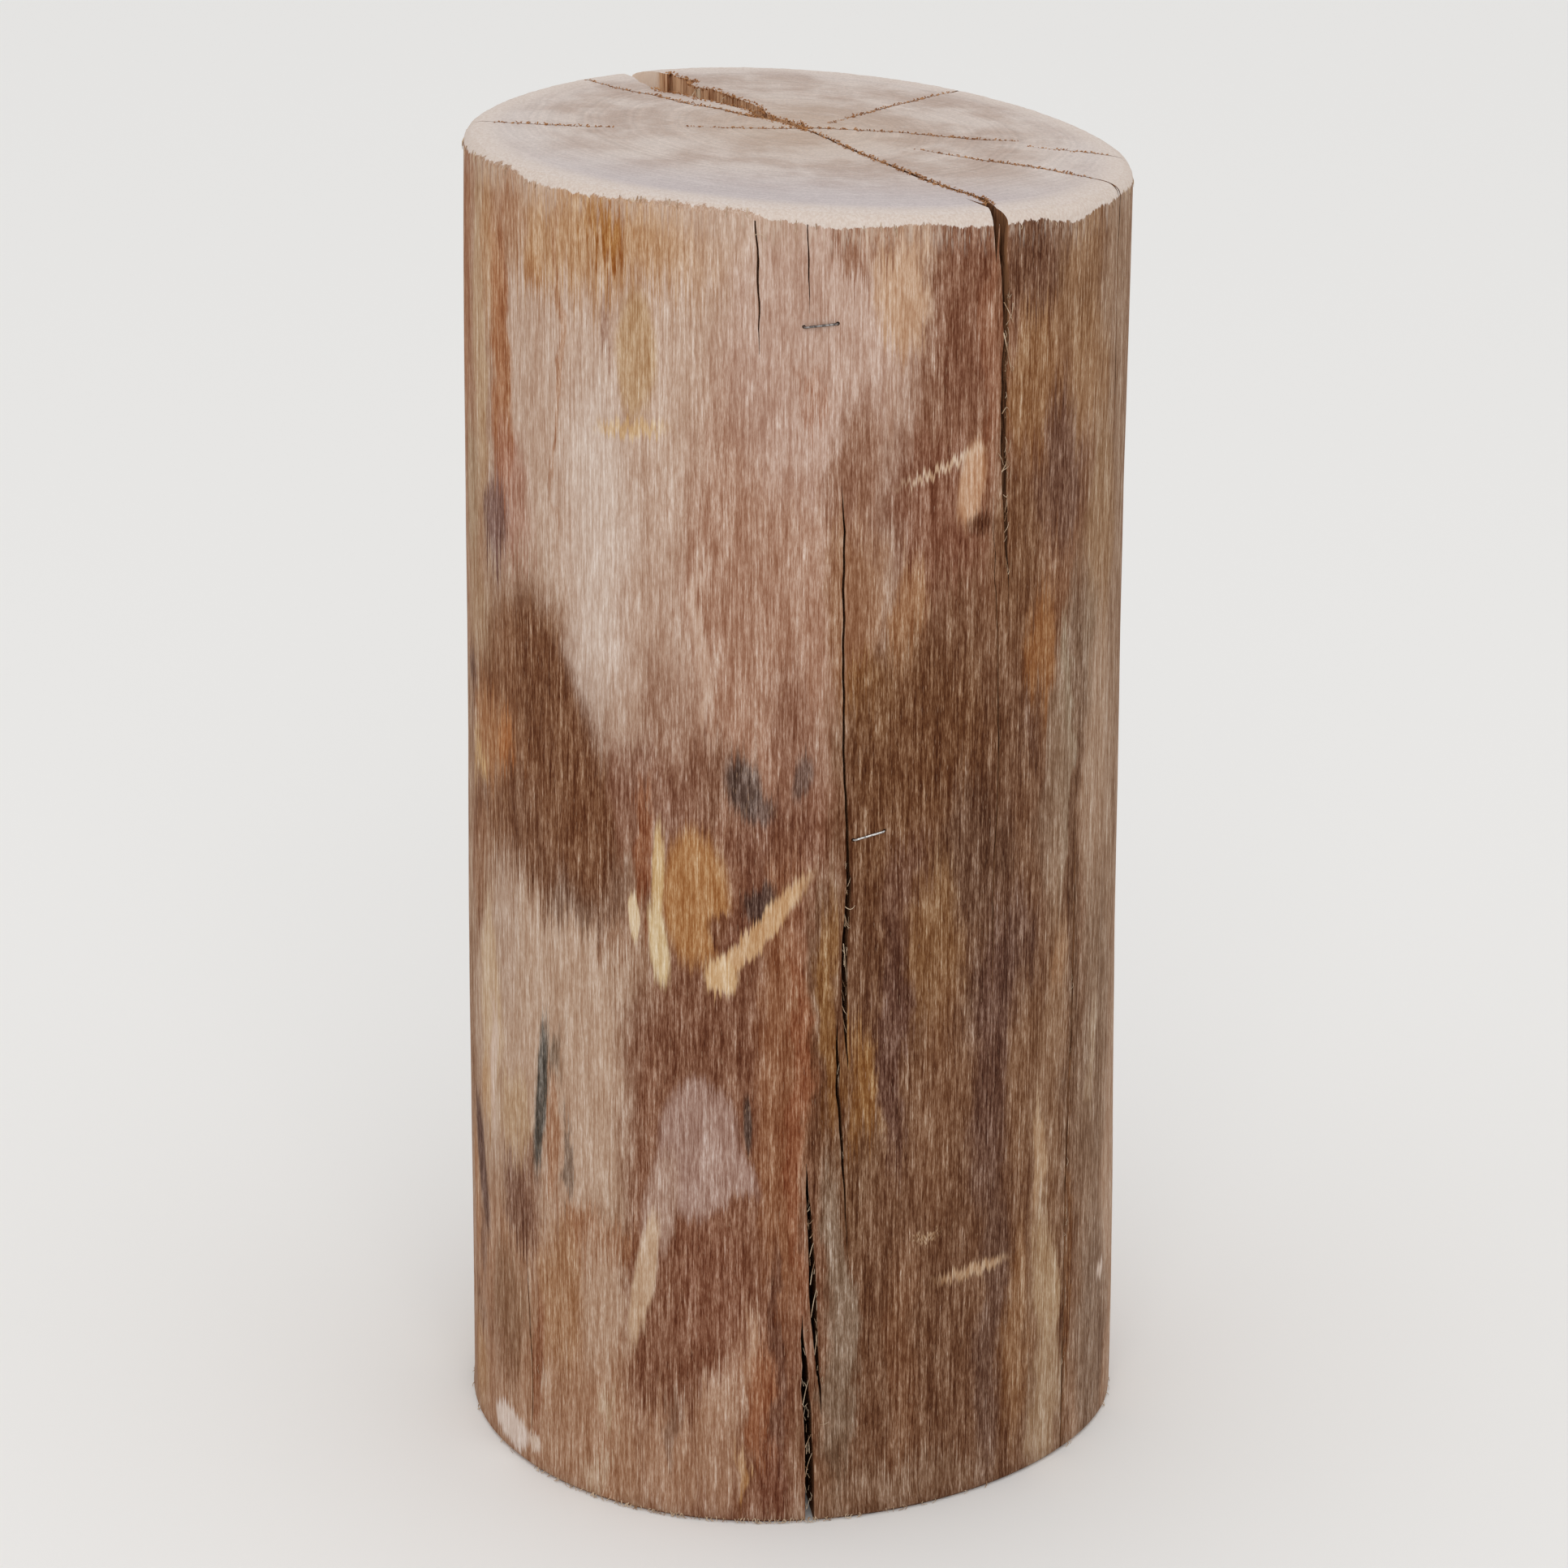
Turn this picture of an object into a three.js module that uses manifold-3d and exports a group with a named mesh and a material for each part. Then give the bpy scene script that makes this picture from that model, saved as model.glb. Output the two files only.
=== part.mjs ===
// Wood log: a short length of trunk with its bark off, sawn square at the base and stood on end
// as a low stool or plinth. Drying has split it, and two fine wire staples are still in its front.
// Millimetres, +Z up. The origin is at the middle of the base, and -Y is the front.
import * as THREE from 'three';
import { mergeVertices } from 'three/addons/utils/BufferGeometryUtils.js';
import Module from 'manifold-3d';

// The trunk. Angles are in degrees, anticlockwise from +X as seen from above: -90 is the front.
const logHeight = 450; // from the base to the middle of the sawn top
const baseRadius = 111.5;
const topRadius = 108;
const topLean = 5.4; // how far the middle of the top stands to the right of the middle of the base
const topSlope = -0.0605; // the top's saw cut falls to the right
const rimInset = 6.2; // the top's rim is worn round: its width across the top,
const rimDepth = 3.5; // and down the side
const baseEdge = 1.5; // the base's edge is only just broken
const stepsRound = 96;
const stepsUp = 12;

// The trunk isn't round: each row is a number of lobes, and how far they stand out as a share of
// the radius and the angle of one of them, first at the base and then at the top.
const lobes = [
  { count: 2, base: [0.005, 53], top: [0.001, 21] },
  { count: 3, base: [0.01, -11], top: [0.033, -32] },
  { count: 4, base: [0.006, -14], top: [0.006, 18] },
];
const footSwell = { out: 3, angle: -5, spread: 25, height: 150 }; // the start of a root

// The wide drying split at the back, from the pith to the outside over the whole height
const pith = [2, 17];
const splitAngle = 128;
const splitOpening = 12.7; // degrees between its two faces at the top
const splitAtBase = 0.5; // how wide it is at the base, as a share of its width at the top

// The narrow drying cracks in the front. Each is widest at its middle height.
const cracks = [
  { angle: -54, middle: logHeight, halfLength: 150, width: 3, depth: 90 },
  { angle: -81.5, middle: 237, halfLength: 124, width: 1.7, depth: 20 },
  { angle: -85.5, middle: 86, halfLength: 45, width: 2.2, depth: 18 },
  { angle: -86.5, middle: 0, halfLength: 76, width: 2.8, depth: 30 },
];

// The staples: fine wire ones, and where each crown lies
const crownLength = 11.3;
const legLength = 8;
const wireSize = 0.75;
const wireBend = 0.9; // outside radius of the two corners
const clearance = 0.3; // between the wire and the wood
const upperStaple = { name: 'staple_upper', angle: -86.5, height: 414.5, tilt: 5.5 };
const lowerStaple = { name: 'staple_lower', angle: -77, height: 246.3, tilt: 12.5 };

const wasm = await Module();
wasm.setup();

// How far the lobes reach out at an angle, for the base or the top.
function lobed(end, angle) {
  const share = ({ count, [end]: [size, peak] }) =>
    size * Math.cos(THREE.MathUtils.degToRad(count * (angle - peak)));
  return 1 + lobes.reduce((sum, lobe) => sum + share(lobe), 0);
}

// The trunk's radius at an angle and height.
function radiusAt(angle, height) {
  const up = height / logHeight;
  const base = baseRadius * lobed('base', angle);
  const top = topRadius * lobed('top', angle);
  const aside = (angle - footSwell.angle) / footSwell.spread;
  const above = height / footSwell.height;
  return THREE.MathUtils.lerp(base, top, up) + footSwell.out * Math.exp(-(aside ** 2) - above ** 2);
}

// The point at an angle and height, at a share of the radius. The slanted cut lifts and lowers
// the levels in proportion to their height, so the base stays flat.
function trunkPoint(angle, height, share = 1) {
  const radius = radiusAt(angle, height) * share;
  const turn = THREE.MathUtils.degToRad(angle);
  const x = (topLean * height) / logHeight + radius * Math.cos(turn);
  const y = radius * Math.sin(turn);
  return new THREE.Vector3(x, y, height * (1 + (topSlope * x) / logHeight));
}

// A closed geometry as a solid, with its shared corners merged and its empty triangles left out.
function solidOf(geometry) {
  geometry.deleteAttribute('normal');
  geometry.deleteAttribute('uv');
  const merged = mergeVertices(geometry, 1e-4);
  const index = Array.from(merged.index.array);
  const corners = [];
  for (let i = 0; i < index.length; i += 3) {
    const [a, b, c] = index.slice(i, i + 3);
    if (a !== b && b !== c && c !== a) corners.push(a, b, c);
  }
  const vertProperties = new Float32Array(merged.attributes.position.array);
  const mesh = new wasm.Mesh({ numProp: 3, vertProperties, triVerts: new Uint32Array(corners) });
  return new wasm.Manifold(mesh);
}

function geometryOf(solid) {
  const mesh = solid.getMesh();
  const geometry = new THREE.BufferGeometry();
  geometry.setAttribute('position', new THREE.BufferAttribute(mesh.vertProperties, 3));
  geometry.setIndex(new THREE.BufferAttribute(mesh.triVerts, 1));
  return geometry;
}

// The uncut trunk: a turned blank with a round rim, pushed out to the trunk's own outline.
function trunkGeometry() {
  const sideTop = logHeight - rimDepth;
  const profile = [new THREE.Vector2(0, 0), new THREE.Vector2(baseRadius - baseEdge, 0)];
  for (let i = 0; i <= stepsUp; i++) {
    profile.push(new THREE.Vector2(baseRadius, THREE.MathUtils.lerp(baseEdge, sideTop, i / stepsUp)));
  }
  const rimSteps = 4;
  for (let i = 1; i <= rimSteps; i++) {
    const turn = (Math.PI / 2) * (i / rimSteps);
    const inward = (rimInset * (1 - Math.cos(turn)) * baseRadius) / topRadius;
    profile.push(new THREE.Vector2(baseRadius - inward, sideTop + rimDepth * Math.sin(turn)));
  }
  profile.push(new THREE.Vector2(0, logHeight));
  const blank = new THREE.LatheGeometry(profile, stepsRound).rotateX(Math.PI / 2);
  const place = blank.attributes.position;
  for (let i = 0; i < place.count; i++) {
    const [x, y, z] = [place.getX(i), place.getY(i), place.getZ(i)];
    const angle = THREE.MathUtils.radToDeg(Math.atan2(y, x));
    place.setXYZ(i, ...trunkPoint(angle, z, Math.hypot(x, y) / baseRadius));
  }
  return blank;
}

// The wedge of the wide split, with its edge on the pith.
function splitGeometry() {
  const reach = 1.5 * baseRadius;
  const halfWidth = reach * Math.tan(THREE.MathUtils.degToRad(splitOpening / 2));
  const plan = new THREE.Shape([
    new THREE.Vector2(0, 0),
    new THREE.Vector2(reach, -halfWidth),
    new THREE.Vector2(reach, halfWidth),
  ]);
  const overshoot = 20;
  const depth = logHeight + 2 * overshoot;
  const wedge = new THREE.ExtrudeGeometry(plan, { depth, bevelEnabled: false });
  const place = wedge.attributes.position;
  for (let i = 0; i < place.count; i++) {
    const width = THREE.MathUtils.lerp(splitAtBase, 1, place.getZ(i) / depth);
    place.setY(i, place.getY(i) * width);
  }
  return wedge.rotateZ(THREE.MathUtils.degToRad(splitAngle)).translate(...pith, -overshoot);
}

// A narrow crack's blade: eight-faced, broadest at its middle height and at the surface.
function crackGeometry({ angle, middle, halfLength, width, depth }) {
  const at = trunkPoint(angle, middle);
  return new THREE.OctahedronGeometry(1)
    .scale(depth, width / 2, halfLength)
    .rotateZ(THREE.MathUtils.degToRad(angle))
    .translate(at.x, at.y, at.z);
}

// A staple's U, flat in XZ: the crown along X and the legs down -Z. growth thickens the wire all
// round, which gives the pocket that the staple stands in.
function stapleGeometry(growth = 0) {
  const outerHalf = crownLength / 2 + growth;
  const innerHalf = crownLength / 2 - wireSize - growth;
  const crownTop = wireSize + growth;
  const crownUnder = -growth;
  const legEnd = -legLength - growth;
  const bend = wireBend + growth;
  const outline = new THREE.Shape();
  outline.moveTo(-outerHalf, legEnd);
  outline.lineTo(-innerHalf, legEnd);
  outline.lineTo(-innerHalf, crownUnder);
  outline.lineTo(innerHalf, crownUnder);
  outline.lineTo(innerHalf, legEnd);
  outline.lineTo(outerHalf, legEnd);
  outline.absarc(outerHalf - bend, crownTop - bend, bend, 0, Math.PI / 2, false);
  outline.absarc(bend - outerHalf, crownTop - bend, bend, Math.PI / 2, Math.PI, false);
  outline.closePath();
  const depth = wireSize + 2 * growth;
  const wire = new THREE.ExtrudeGeometry(outline, { depth, bevelEnabled: false, curveSegments: 4 });
  return wire.translate(0, 0, -depth / 2).rotateX(Math.PI / 2);
}

// The frame that stands a staple on the trunk: X along its crown, Z out of the wood.
function stapleFrame({ angle, height, tilt }) {
  const at = trunkPoint(angle, height);
  const along = trunkPoint(angle + 1, height).sub(trunkPoint(angle - 1, height)).normalize();
  const up = trunkPoint(angle, height + 1).sub(trunkPoint(angle, height - 1)).normalize();
  const out = along.clone().cross(up).normalize();
  along.applyAxisAngle(out, THREE.MathUtils.degToRad(tilt));
  const across = out.clone().cross(along);
  at.addScaledVector(out, clearance);
  return new THREE.Matrix4().makeBasis(along, across, out).setPosition(at);
}

// The wood, with its splits and the staples' pockets cut out.
function log(staples) {
  const wood = new THREE.MeshStandardMaterial({ color: '#a3826a', roughness: 0.85, metalness: 0 });
  const pockets = staples.map((s) => stapleGeometry(clearance).applyMatrix4(stapleFrame(s)));
  const cuts = [splitGeometry(), ...cracks.map(crackGeometry), ...pockets];
  const solid = cuts.reduce((rest, cut) => rest.subtract(solidOf(cut)), solidOf(trunkGeometry()));
  const mesh = new THREE.Mesh(geometryOf(solid), wood);
  mesh.name = 'log';
  return mesh;
}

function staple(at) {
  const steel = new THREE.MeshStandardMaterial({ color: '#a9a8a4', roughness: 0.35, metalness: 1 });
  const mesh = new THREE.Mesh(stapleGeometry(), steel);
  mesh.name = at.name;
  mesh.applyMatrix4(stapleFrame(at));
  return mesh;
}

const staples = [upperStaple, lowerStaple];
const woodLog = new THREE.Group();
woodLog.add(log(staples), ...staples.map(staple));

// Move the middle of the base to the origin.
const extent = new THREE.Box3().setFromObject(woodLog);
const middle = extent.getCenter(new THREE.Vector3());
woodLog.position.set(-middle.x, -middle.y, -extent.min.z);

export default woodLog;
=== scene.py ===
from math import atan2, cos, degrees, exp, hypot, pi, radians, sin
from random import Random

import bmesh
import bpy
from mathutils import Matrix, Vector, noise


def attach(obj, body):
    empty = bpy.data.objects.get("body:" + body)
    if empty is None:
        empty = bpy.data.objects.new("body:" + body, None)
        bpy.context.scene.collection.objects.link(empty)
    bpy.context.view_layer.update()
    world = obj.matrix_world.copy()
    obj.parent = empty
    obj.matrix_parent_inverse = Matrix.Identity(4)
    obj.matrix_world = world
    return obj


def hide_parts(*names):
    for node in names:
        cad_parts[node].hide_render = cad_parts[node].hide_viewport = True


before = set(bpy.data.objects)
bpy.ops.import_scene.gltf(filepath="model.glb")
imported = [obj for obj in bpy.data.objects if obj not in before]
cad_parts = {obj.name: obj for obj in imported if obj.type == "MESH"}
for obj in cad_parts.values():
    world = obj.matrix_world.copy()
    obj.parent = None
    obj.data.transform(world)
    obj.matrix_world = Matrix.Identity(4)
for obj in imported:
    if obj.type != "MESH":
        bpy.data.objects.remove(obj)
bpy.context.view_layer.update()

MM = 0.001

# THE TRUNK
# A short length of a hardwood trunk, stood on end with its bark off. It grew slightly three-sided
# and was sawn at both ends, the top cut a little slanted and its rim ground round.
# Lengths are in millimetres. An angle "around" is in degrees from the front, positive to the right.
height = 450
base_radius = 111.5
top_radius = 108
base_middle = (-2.4, -0.54)
top_lean = 5.4
top_slope = -0.0605
rim_inset = 6.2
rim_depth = 3.5
base_edge = 1.5
lobes = (  # how many, then size and angle of one of them at the base, and the same at the top
    (2, 0.005, 143, 0.001, 111),
    (3, 0.010, 79, 0.033, 58),
    (4, 0.006, 76, 0.006, 108),
)
foot_swell = {"out": 3, "around": 85, "spread": 25, "height": 150}


def trunk_radius(around, level):
    base = 1 + sum(size * cos(radians(n * (around - peak))) for n, size, peak, _, _ in lobes)
    top = 1 + sum(size * cos(radians(n * (around - peak))) for n, _, _, size, peak in lobes)
    up = level / height
    aside = (around - foot_swell["around"]) / foot_swell["spread"]
    root = foot_swell["out"] * exp(-aside ** 2 - (level / foot_swell["height"]) ** 2)
    return base_radius * base * (1 - up) + top_radius * top * up + root


def trunk_point(around, level, share=1.0, out=0.0):
    """A point at an angle and level, at a share of the radius or so far outside the surface."""
    radius = trunk_radius(around, level) * share + out
    x = top_lean * level / height + radius * sin(radians(around))
    y = -radius * cos(radians(around))
    z = level * (1 + top_slope * x / height)
    return Vector((base_middle[0] + x, base_middle[1] + y, z))


def grain(around, level, across, along, seed=0.0):
    """Noise from -1 to 1 that runs round the trunk, in patches of that size across and along it."""
    x = base_radius * sin(radians(around)) / across
    y = base_radius * cos(radians(around)) / across
    return noise.noise(Vector((x + seed, y - seed, level / along + seed)))


ground_rim = [  # angle, and how far below the top the ground rim ends there
    (-180, 4), (-120, 3.2), (-90, 4.4), (-75, 4.2), (-63, 1.6), (-56, 1.4), (-50, 3.4), (-35, 3.0),
    (-23, 1.2), (-10, 1.3), (-4, 3.2), (2, 4.6), (10, 4.2), (20, 2.7), (30, 4.2), (42, 3.6), (51, 6.2),
    (60, 3.7), (75, 3.8), (110, 5), (150, 3), (180, 4),
]
ledge = 0.12  # how far the grinding took the rim back below the weathered surface


def ragged_line(around):
    """How far below the top the ground rim ends and the weathered surface starts."""
    for (left, low), (right, high) in zip(ground_rim, ground_rim[1:]):
        if left <= around <= right:
            t = (around - left) / (right - left)
            drop = low + (high - low) * t * t * (3 - 2 * t)
            break
    slow = grain(around, 0, 9, 1, 3.1)
    fibres = grain(around, 0, 1.3, 1, 7.7)
    return drop + 0.5 * slow + 0.9 * fibres


def relief(around, level):
    """How far the bare surface stands in or out: swellings, flutes along the grain and fibres."""
    swelling = 0.8 * grain(around, level, 55, 150, 1.3)
    flutes = 0.4 * grain(around, level, 8, 200, 5.9)
    fibres = 0.16 * grain(around, level, 2.1, 45, 9.4)
    ground_off = -ledge if height - level < ragged_line(around) else 0.0
    return swelling + flutes + fibres + ground_off


columns = 560
top_rows = 24
coarse_row = 5.2
fine_row = 0.9
fine_below = 436
rim_rows = 6
base_rows = 8
top_wave = 0.15  # the sawn top is that much out of flat, in waves of that size
top_wave_size = 14
end_lies_flat = 0.93  # faces that look this straight up or down are end grain

# Its outline spun into a round blank, which then takes the trunk's shape corner by corner. The
# rim is worn back further where the ground band below it is deeper.
blank = bmesh.new()
outline = [(base_radius * i / base_rows, 0.0) for i in range(base_rows)]
outline.append((base_radius - base_edge, 0.0))
level = base_edge
while level < height - rim_depth:
    outline.append((base_radius, level))
    level += coarse_row if level < fine_below else fine_row
flat_radius = base_radius - rim_inset
for i in range(rim_rows + 1):
    turn = pi / 2 * i / rim_rows
    inward = rim_inset * (1 - cos(turn))
    outline.append((base_radius - inward, height - rim_depth * (1 - sin(turn))))
for i in range(1, top_rows + 1):
    outline.append((flat_radius * (1 - i / top_rows), float(height)))
chain = [blank.verts.new((radius, 0.0, z)) for radius, z in outline]
lines = [blank.edges.new(pair) for pair in zip(chain, chain[1:])]
bmesh.ops.spin(
    blank, geom=chain + lines, axis=(0, 0, 1), cent=(0, 0, 0),
    steps=columns, angle=2 * pi, use_merge=True,
)
bmesh.ops.remove_doubles(blank, verts=blank.verts, dist=0.001)
for vert in blank.verts:
    around = degrees(atan2(vert.co.x, -vert.co.y))
    radius = hypot(vert.co.x, vert.co.y)
    level = vert.co.z
    wear = 0.5 + 0.13 * ragged_line(around) + 0.1 * grain(around, 0, 4, 1, 2.4)
    inward = max(0.0, base_radius - radius) if level > base_edge else rim_inset
    if level > height - 0.001 and radius <= flat_radius + 0.001:
        radius *= (base_radius - rim_inset * wear) / flat_radius
    elif level > height - rim_depth:
        radius = base_radius - inward * wear
    on_side = 1 - min(1.0, inward / rim_inset)
    out = relief(around, level) * on_side
    vert.co = trunk_point(around, level, radius / base_radius, out) * MM
    if level > height - 0.001:
        spot = Vector((vert.co.x, vert.co.y, 0)) / (top_wave_size * MM)
        vert.co.z += top_wave * MM * noise.noise(spot)
bmesh.ops.recalc_face_normals(blank, faces=blank.faces)
for face in blank.faces:
    face.smooth = True
    face.material_index = 1 if abs(face.normal.z) > end_lies_flat else 0
log_mesh = bpy.data.meshes.new("log_wood")
blank.to_mesh(log_mesh)
blank.free()
log = bpy.data.objects.new("log_wood", log_mesh)
bpy.context.scene.collection.objects.link(log)

# THE CRACKS
# Drying splits: the outside of the trunk shrank more than its heart, so it opened along the grain
# from the outside in. Each narrow one is a wedge cut into the wood along its own wandering line.
hairline = 0.12  # a crack is no narrower than this before it ends
side_step = 3.0  # how far apart the stations along a crack in the side are, and in the top
top_step = 2.0
side_sway = 0.25  # how far a crack wanders off its path: in degrees in the side, in mm in the top
top_sway = 0.35


def along_path(path, step):
    """The stations of a path at equal steps, with everything each point holds blended smoothly."""
    points = [Vector(p) for p in path]
    stations = []
    for i in range(len(points) - 1):
        before = points[max(i - 1, 0)]
        after = points[min(i + 2, len(points) - 1)]
        start, end = points[i], points[i + 1]
        count = max(1, round((end - start).length / step))
        for k in range(count):
            t = k / count
            slope_in = (end - before) / 2
            slope_out = (after - start) / 2
            stations.append(
                start * (2 * t ** 3 - 3 * t ** 2 + 1) + slope_in * (t ** 3 - 2 * t ** 2 + t)
                + end * (3 * t ** 2 - 2 * t ** 3) + slope_out * (t ** 3 - t ** 2)
            )
    return stations + [points[-1]]


def new_piece(name, bm):
    mesh = bpy.data.meshes.new(name)
    bm.to_mesh(mesh)
    bm.free()
    piece = bpy.data.objects.new(name, mesh)
    bpy.context.scene.collection.objects.link(piece)
    return piece


def drawn_out(bm, face, first):
    """Draws a closed end out by one ring, leaves no wall inside, and gives the new end."""
    grown = bmesh.ops.extrude_face_region(bm, geom=[face])["geom"]
    if not first:
        bm.faces.remove(face)
    return next(part for part in grown if isinstance(part, bmesh.types.BMFace))


def wedge(name, stations, seed):
    """A long wedge through stations of (mouth, across, inward, width, depth), with torn edges."""
    lift = 3.0  # how far it stands out of the wood, so that it cuts right through the surface
    lip_tear = 0.22
    bottom_sway = 1.2
    bm = bmesh.new()
    ring = [bm.verts.new((0, 0, 0)) for _ in range(3)]
    face = bm.faces.new(ring)
    for i, (mouth, across, inward, width, depth) in enumerate(stations):
        if i:
            face = drawn_out(bm, face, i == 1)
            ring = list(face.verts)
        flare = (depth + lift) / depth / 2
        torn = [lip_tear * noise.noise(Vector((i * 0.9, seed + k, 0))) for k in range(2)]
        wander = bottom_sway * noise.noise(Vector((i * 0.15, seed, 5))) * min(1, width)
        top = mouth - inward * lift
        corners = (
            top - across * (width + torn[0]) * flare,
            top + across * (width + torn[1]) * flare,
            mouth + inward * depth + across * wander,
        )
        for vert, corner in zip(ring, corners):
            vert.co = corner * MM
    bmesh.ops.recalc_face_normals(bm, faces=bm.faces)
    return new_piece(name, bm)


def side_crack(name, path, depth, seed):
    """A crack down the side. Its path holds (around, level, width), and it is deepest where wide."""
    stations = []
    for around, level, width in along_path(path, side_step):
        around += side_sway * noise.noise(Vector((level / 9, seed, 0)))
        mouth = trunk_point(around, level)
        across = (trunk_point(around + 1, level) - trunk_point(around - 1, level)).normalized()
        inward = Vector((-sin(radians(around)), cos(radians(around)), 0))
        share = min(1.0, 0.15 + width / 1.5)
        stations.append((mouth, across, inward, max(width, hairline), depth * share))
    return wedge(name, stations, seed)


def top_check(name, path, depth, seed):
    """A check in the top face. Its path holds (x, y, width) across the top."""
    stations = []
    points = along_path(path, top_step)
    check_lines.append(points)
    for i, (x, y, width) in enumerate(points):
        behind, ahead = points[max(i - 1, 0)], points[min(i + 1, len(points) - 1)]
        heading = Vector((ahead[0] - behind[0], ahead[1] - behind[1], 0)).normalized()
        across = Vector((heading.y, -heading.x, 0))
        shift = top_sway * noise.noise(Vector((i * 0.45, seed, 2)))
        mouth = Vector((x, y, height + top_slope * (x - base_middle[0]))) + across * shift
        stations.append((mouth, across, Vector((0, 0, -1)), max(width, hairline), depth))
    return wedge(name, stations, seed)


check_lines = []  # the run of each check in the top, kept for the crumbs that lie along it
cutters = [
    # the main crack: from the pith to the rim, then down the front right
    top_check("main_top", [
        (3.6, 12.5, 0.8), (10.5, 1.5, 1.0), (20.5, -16.5, 1.1), (26.5, -26.5, 1.2), (35.5, -40.5, 1.5),
        (41.5, -50.5, 1.6), (49.5, -61.5, 1.5), (55.5, -68.5, 1.6), (59.5, -73.5, 1.8),
        (61.5, -80.5, 2.2), (63.5, -92, 2.8), (65, -101, 3.0)], 16, 1.0),
    side_crack("main_side", [
        (35, 462, 3.1), (35, 443, 3.1), (35.6, 429, 2.6), (36, 410, 2.0), (36, 390, 2.2),
        (36.4, 367, 2.2), (37.1, 352, 1.6), (37.5, 340, 1.0), (38, 331, 0.5), (38.6, 312, 0)], 20, 2.0),
    side_crack("main_beside", [
        (34.4, 357, 0), (35.2, 335, 0.4), (36, 317, 0.5), (37, 266, 0.6), (36.5, 221, 0.5), (37, 175, 0)],
        8, 3.0),
    # the middle crack
    side_crack("middle_upper", [
        (7.4, 363, 0), (7.9, 348, 0.7), (8.1, 316, 0.8), (8.4, 280, 0.8), (9.3, 244, 1.0),
        (9.5, 224, 1.7), (9.1, 205, 2.0), (9.2, 186, 1.6), (9.6, 175, 0.7), (9.9, 164, 0)], 20, 4.0),
    side_crack("middle_lower", [
        (8.0, 183, 0), (8.1, 166, 1.1), (8.6, 150, 1.1), (9.2, 134, 0.8), (10, 113, 0.4), (10.6, 92, 0)],
        14, 5.0),
    # the two lower cracks, with a strip of wood still standing between them
    side_crack("lower_upper", [
        (3, 132, 0), (3.4, 118, 1.2), (4.1, 100, 1.9), (4.5, 83, 2.6), (5.1, 66, 1.5), (5.8, 50, 0.8),
        (6.5, 40, 0)], 18, 6.0),
    side_crack("lower_base", [
        (2.5, 77, 0), (3, 64, 1.4), (3.5, 47, 2.7), (4, 32, 2.6), (4.3, 18, 3.0), (4.5, -8, 3.2)], 26, 7.0),
    # fine cracks in the side
    side_crack("right_upper", [(68, 455, 0.9), (67.6, 420, 0.8), (68.6, 381, 0.7), (69, 330, 0)], 9, 8.0),
    side_crack("right_lower", [
        (56.6, 262, 0), (57.2, 215, 0.8), (57.6, 165, 1.0), (57.4, 110, 1.0), (57.9, 55, 0.9),
        (58.2, -8, 1.0)], 8, 9.0),
    side_crack("rim_left", [(-7.8, 446, 0.5), (-7.2, 430, 0.7), (-7, 412, 0.4), (-6.8, 404, 0)], 6, 10.0),
    side_crack("rim_middle", [(1.1, 446, 0.4), (1.4, 432, 0.5), (1.6, 418, 0)], 5, 11.0),
    side_crack("foot_left", [(-52, 92, 0), (-51, 60, 0.5), (-50, 30, 0.5), (-50.5, 12, 0)], 5, 12.0),
    side_crack("back_left", [
        (-118, 380, 0), (-117, 330, 1.0), (-117.6, 250, 1.3), (-117, 170, 0.9), (-118, 90, 0)], 14, 13.0),
    side_crack("back_right", [
        (148, 462, 1.3), (148.5, 400, 1.2), (147.6, 330, 0.8), (148.2, 260, 0)], 12, 14.0),
    side_crack("back_foot", [(172, 170, 0), (171, 110, 1.2), (171.5, 50, 1.7), (171, -8, 2.0)], 16, 15.0),
    side_crack("right_back", [(108, 330, 0), (108.6, 250, 0.8), (108, 160, 1.0), (108.8, 70, 0)], 9, 16.0),
    # checks in the top
    top_check("check_left_back", [
        (-70, 68.5, 0.5), (-57.5, 56.5, 0.6), (-44.5, 48.5, 0.7), (-36.5, 41.5, 0.8), (-24.5, 34.5, 1.0),
        (-15.5, 27.5, 1.2), (-11, 25, 1.2)], 3.5, 20.0),
    top_check("check_left", [
        (-103, -5.5, 0.4), (-93.5, -5.5, 0.5), (-72.5, -4.5, 0.5), (-58, -3.5, 0)], 1.6, 21.0),
    top_check("check_left_inner", [(-34, 4.5, 0), (-18.5, 6.5, 0.4), (3.6, 12, 0.6)], 1.6, 22.0),
    top_check("check_back", [
        (12.5, 22.5, 0), (22.5, 37.5, 0.4), (31.5, 51.5, 0.5), (44.5, 69.5, 0.4), (56, 85, 0)], 1.8, 23.0),
    top_check("check_right", [
        (3.6, 12.5, 0.8), (17.5, 14.5, 0.6), (36.5, 14.5, 0.6), (58.5, 11.5, 0.8), (75, 12, 0)], 2.6, 24.0),
    top_check("check_right_outer", [
        (77, 4.5, 0), (96.5, 1.5, 0.5), (104.5, -1.5, 0.6), (112, -3, 0.6)], 2.0, 25.0),
    top_check("check_front_right", [
        (39.5, -8.5, 0), (51.5, -14.5, 0.5), (63.5, -19.5, 0.9), (77.5, -24.5, 0.9), (89.5, -31.5, 0.7),
        (98.5, -37.5, 0.7), (104, -43.5, 0.9), (106, -52, 1.0)], 4, 26.0),
    top_check("pith_tear", [(4.6, 8, 0.4), (3.6, 13, 1.6), (3.2, 23, 0)], 6, 27.0),
]

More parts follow.
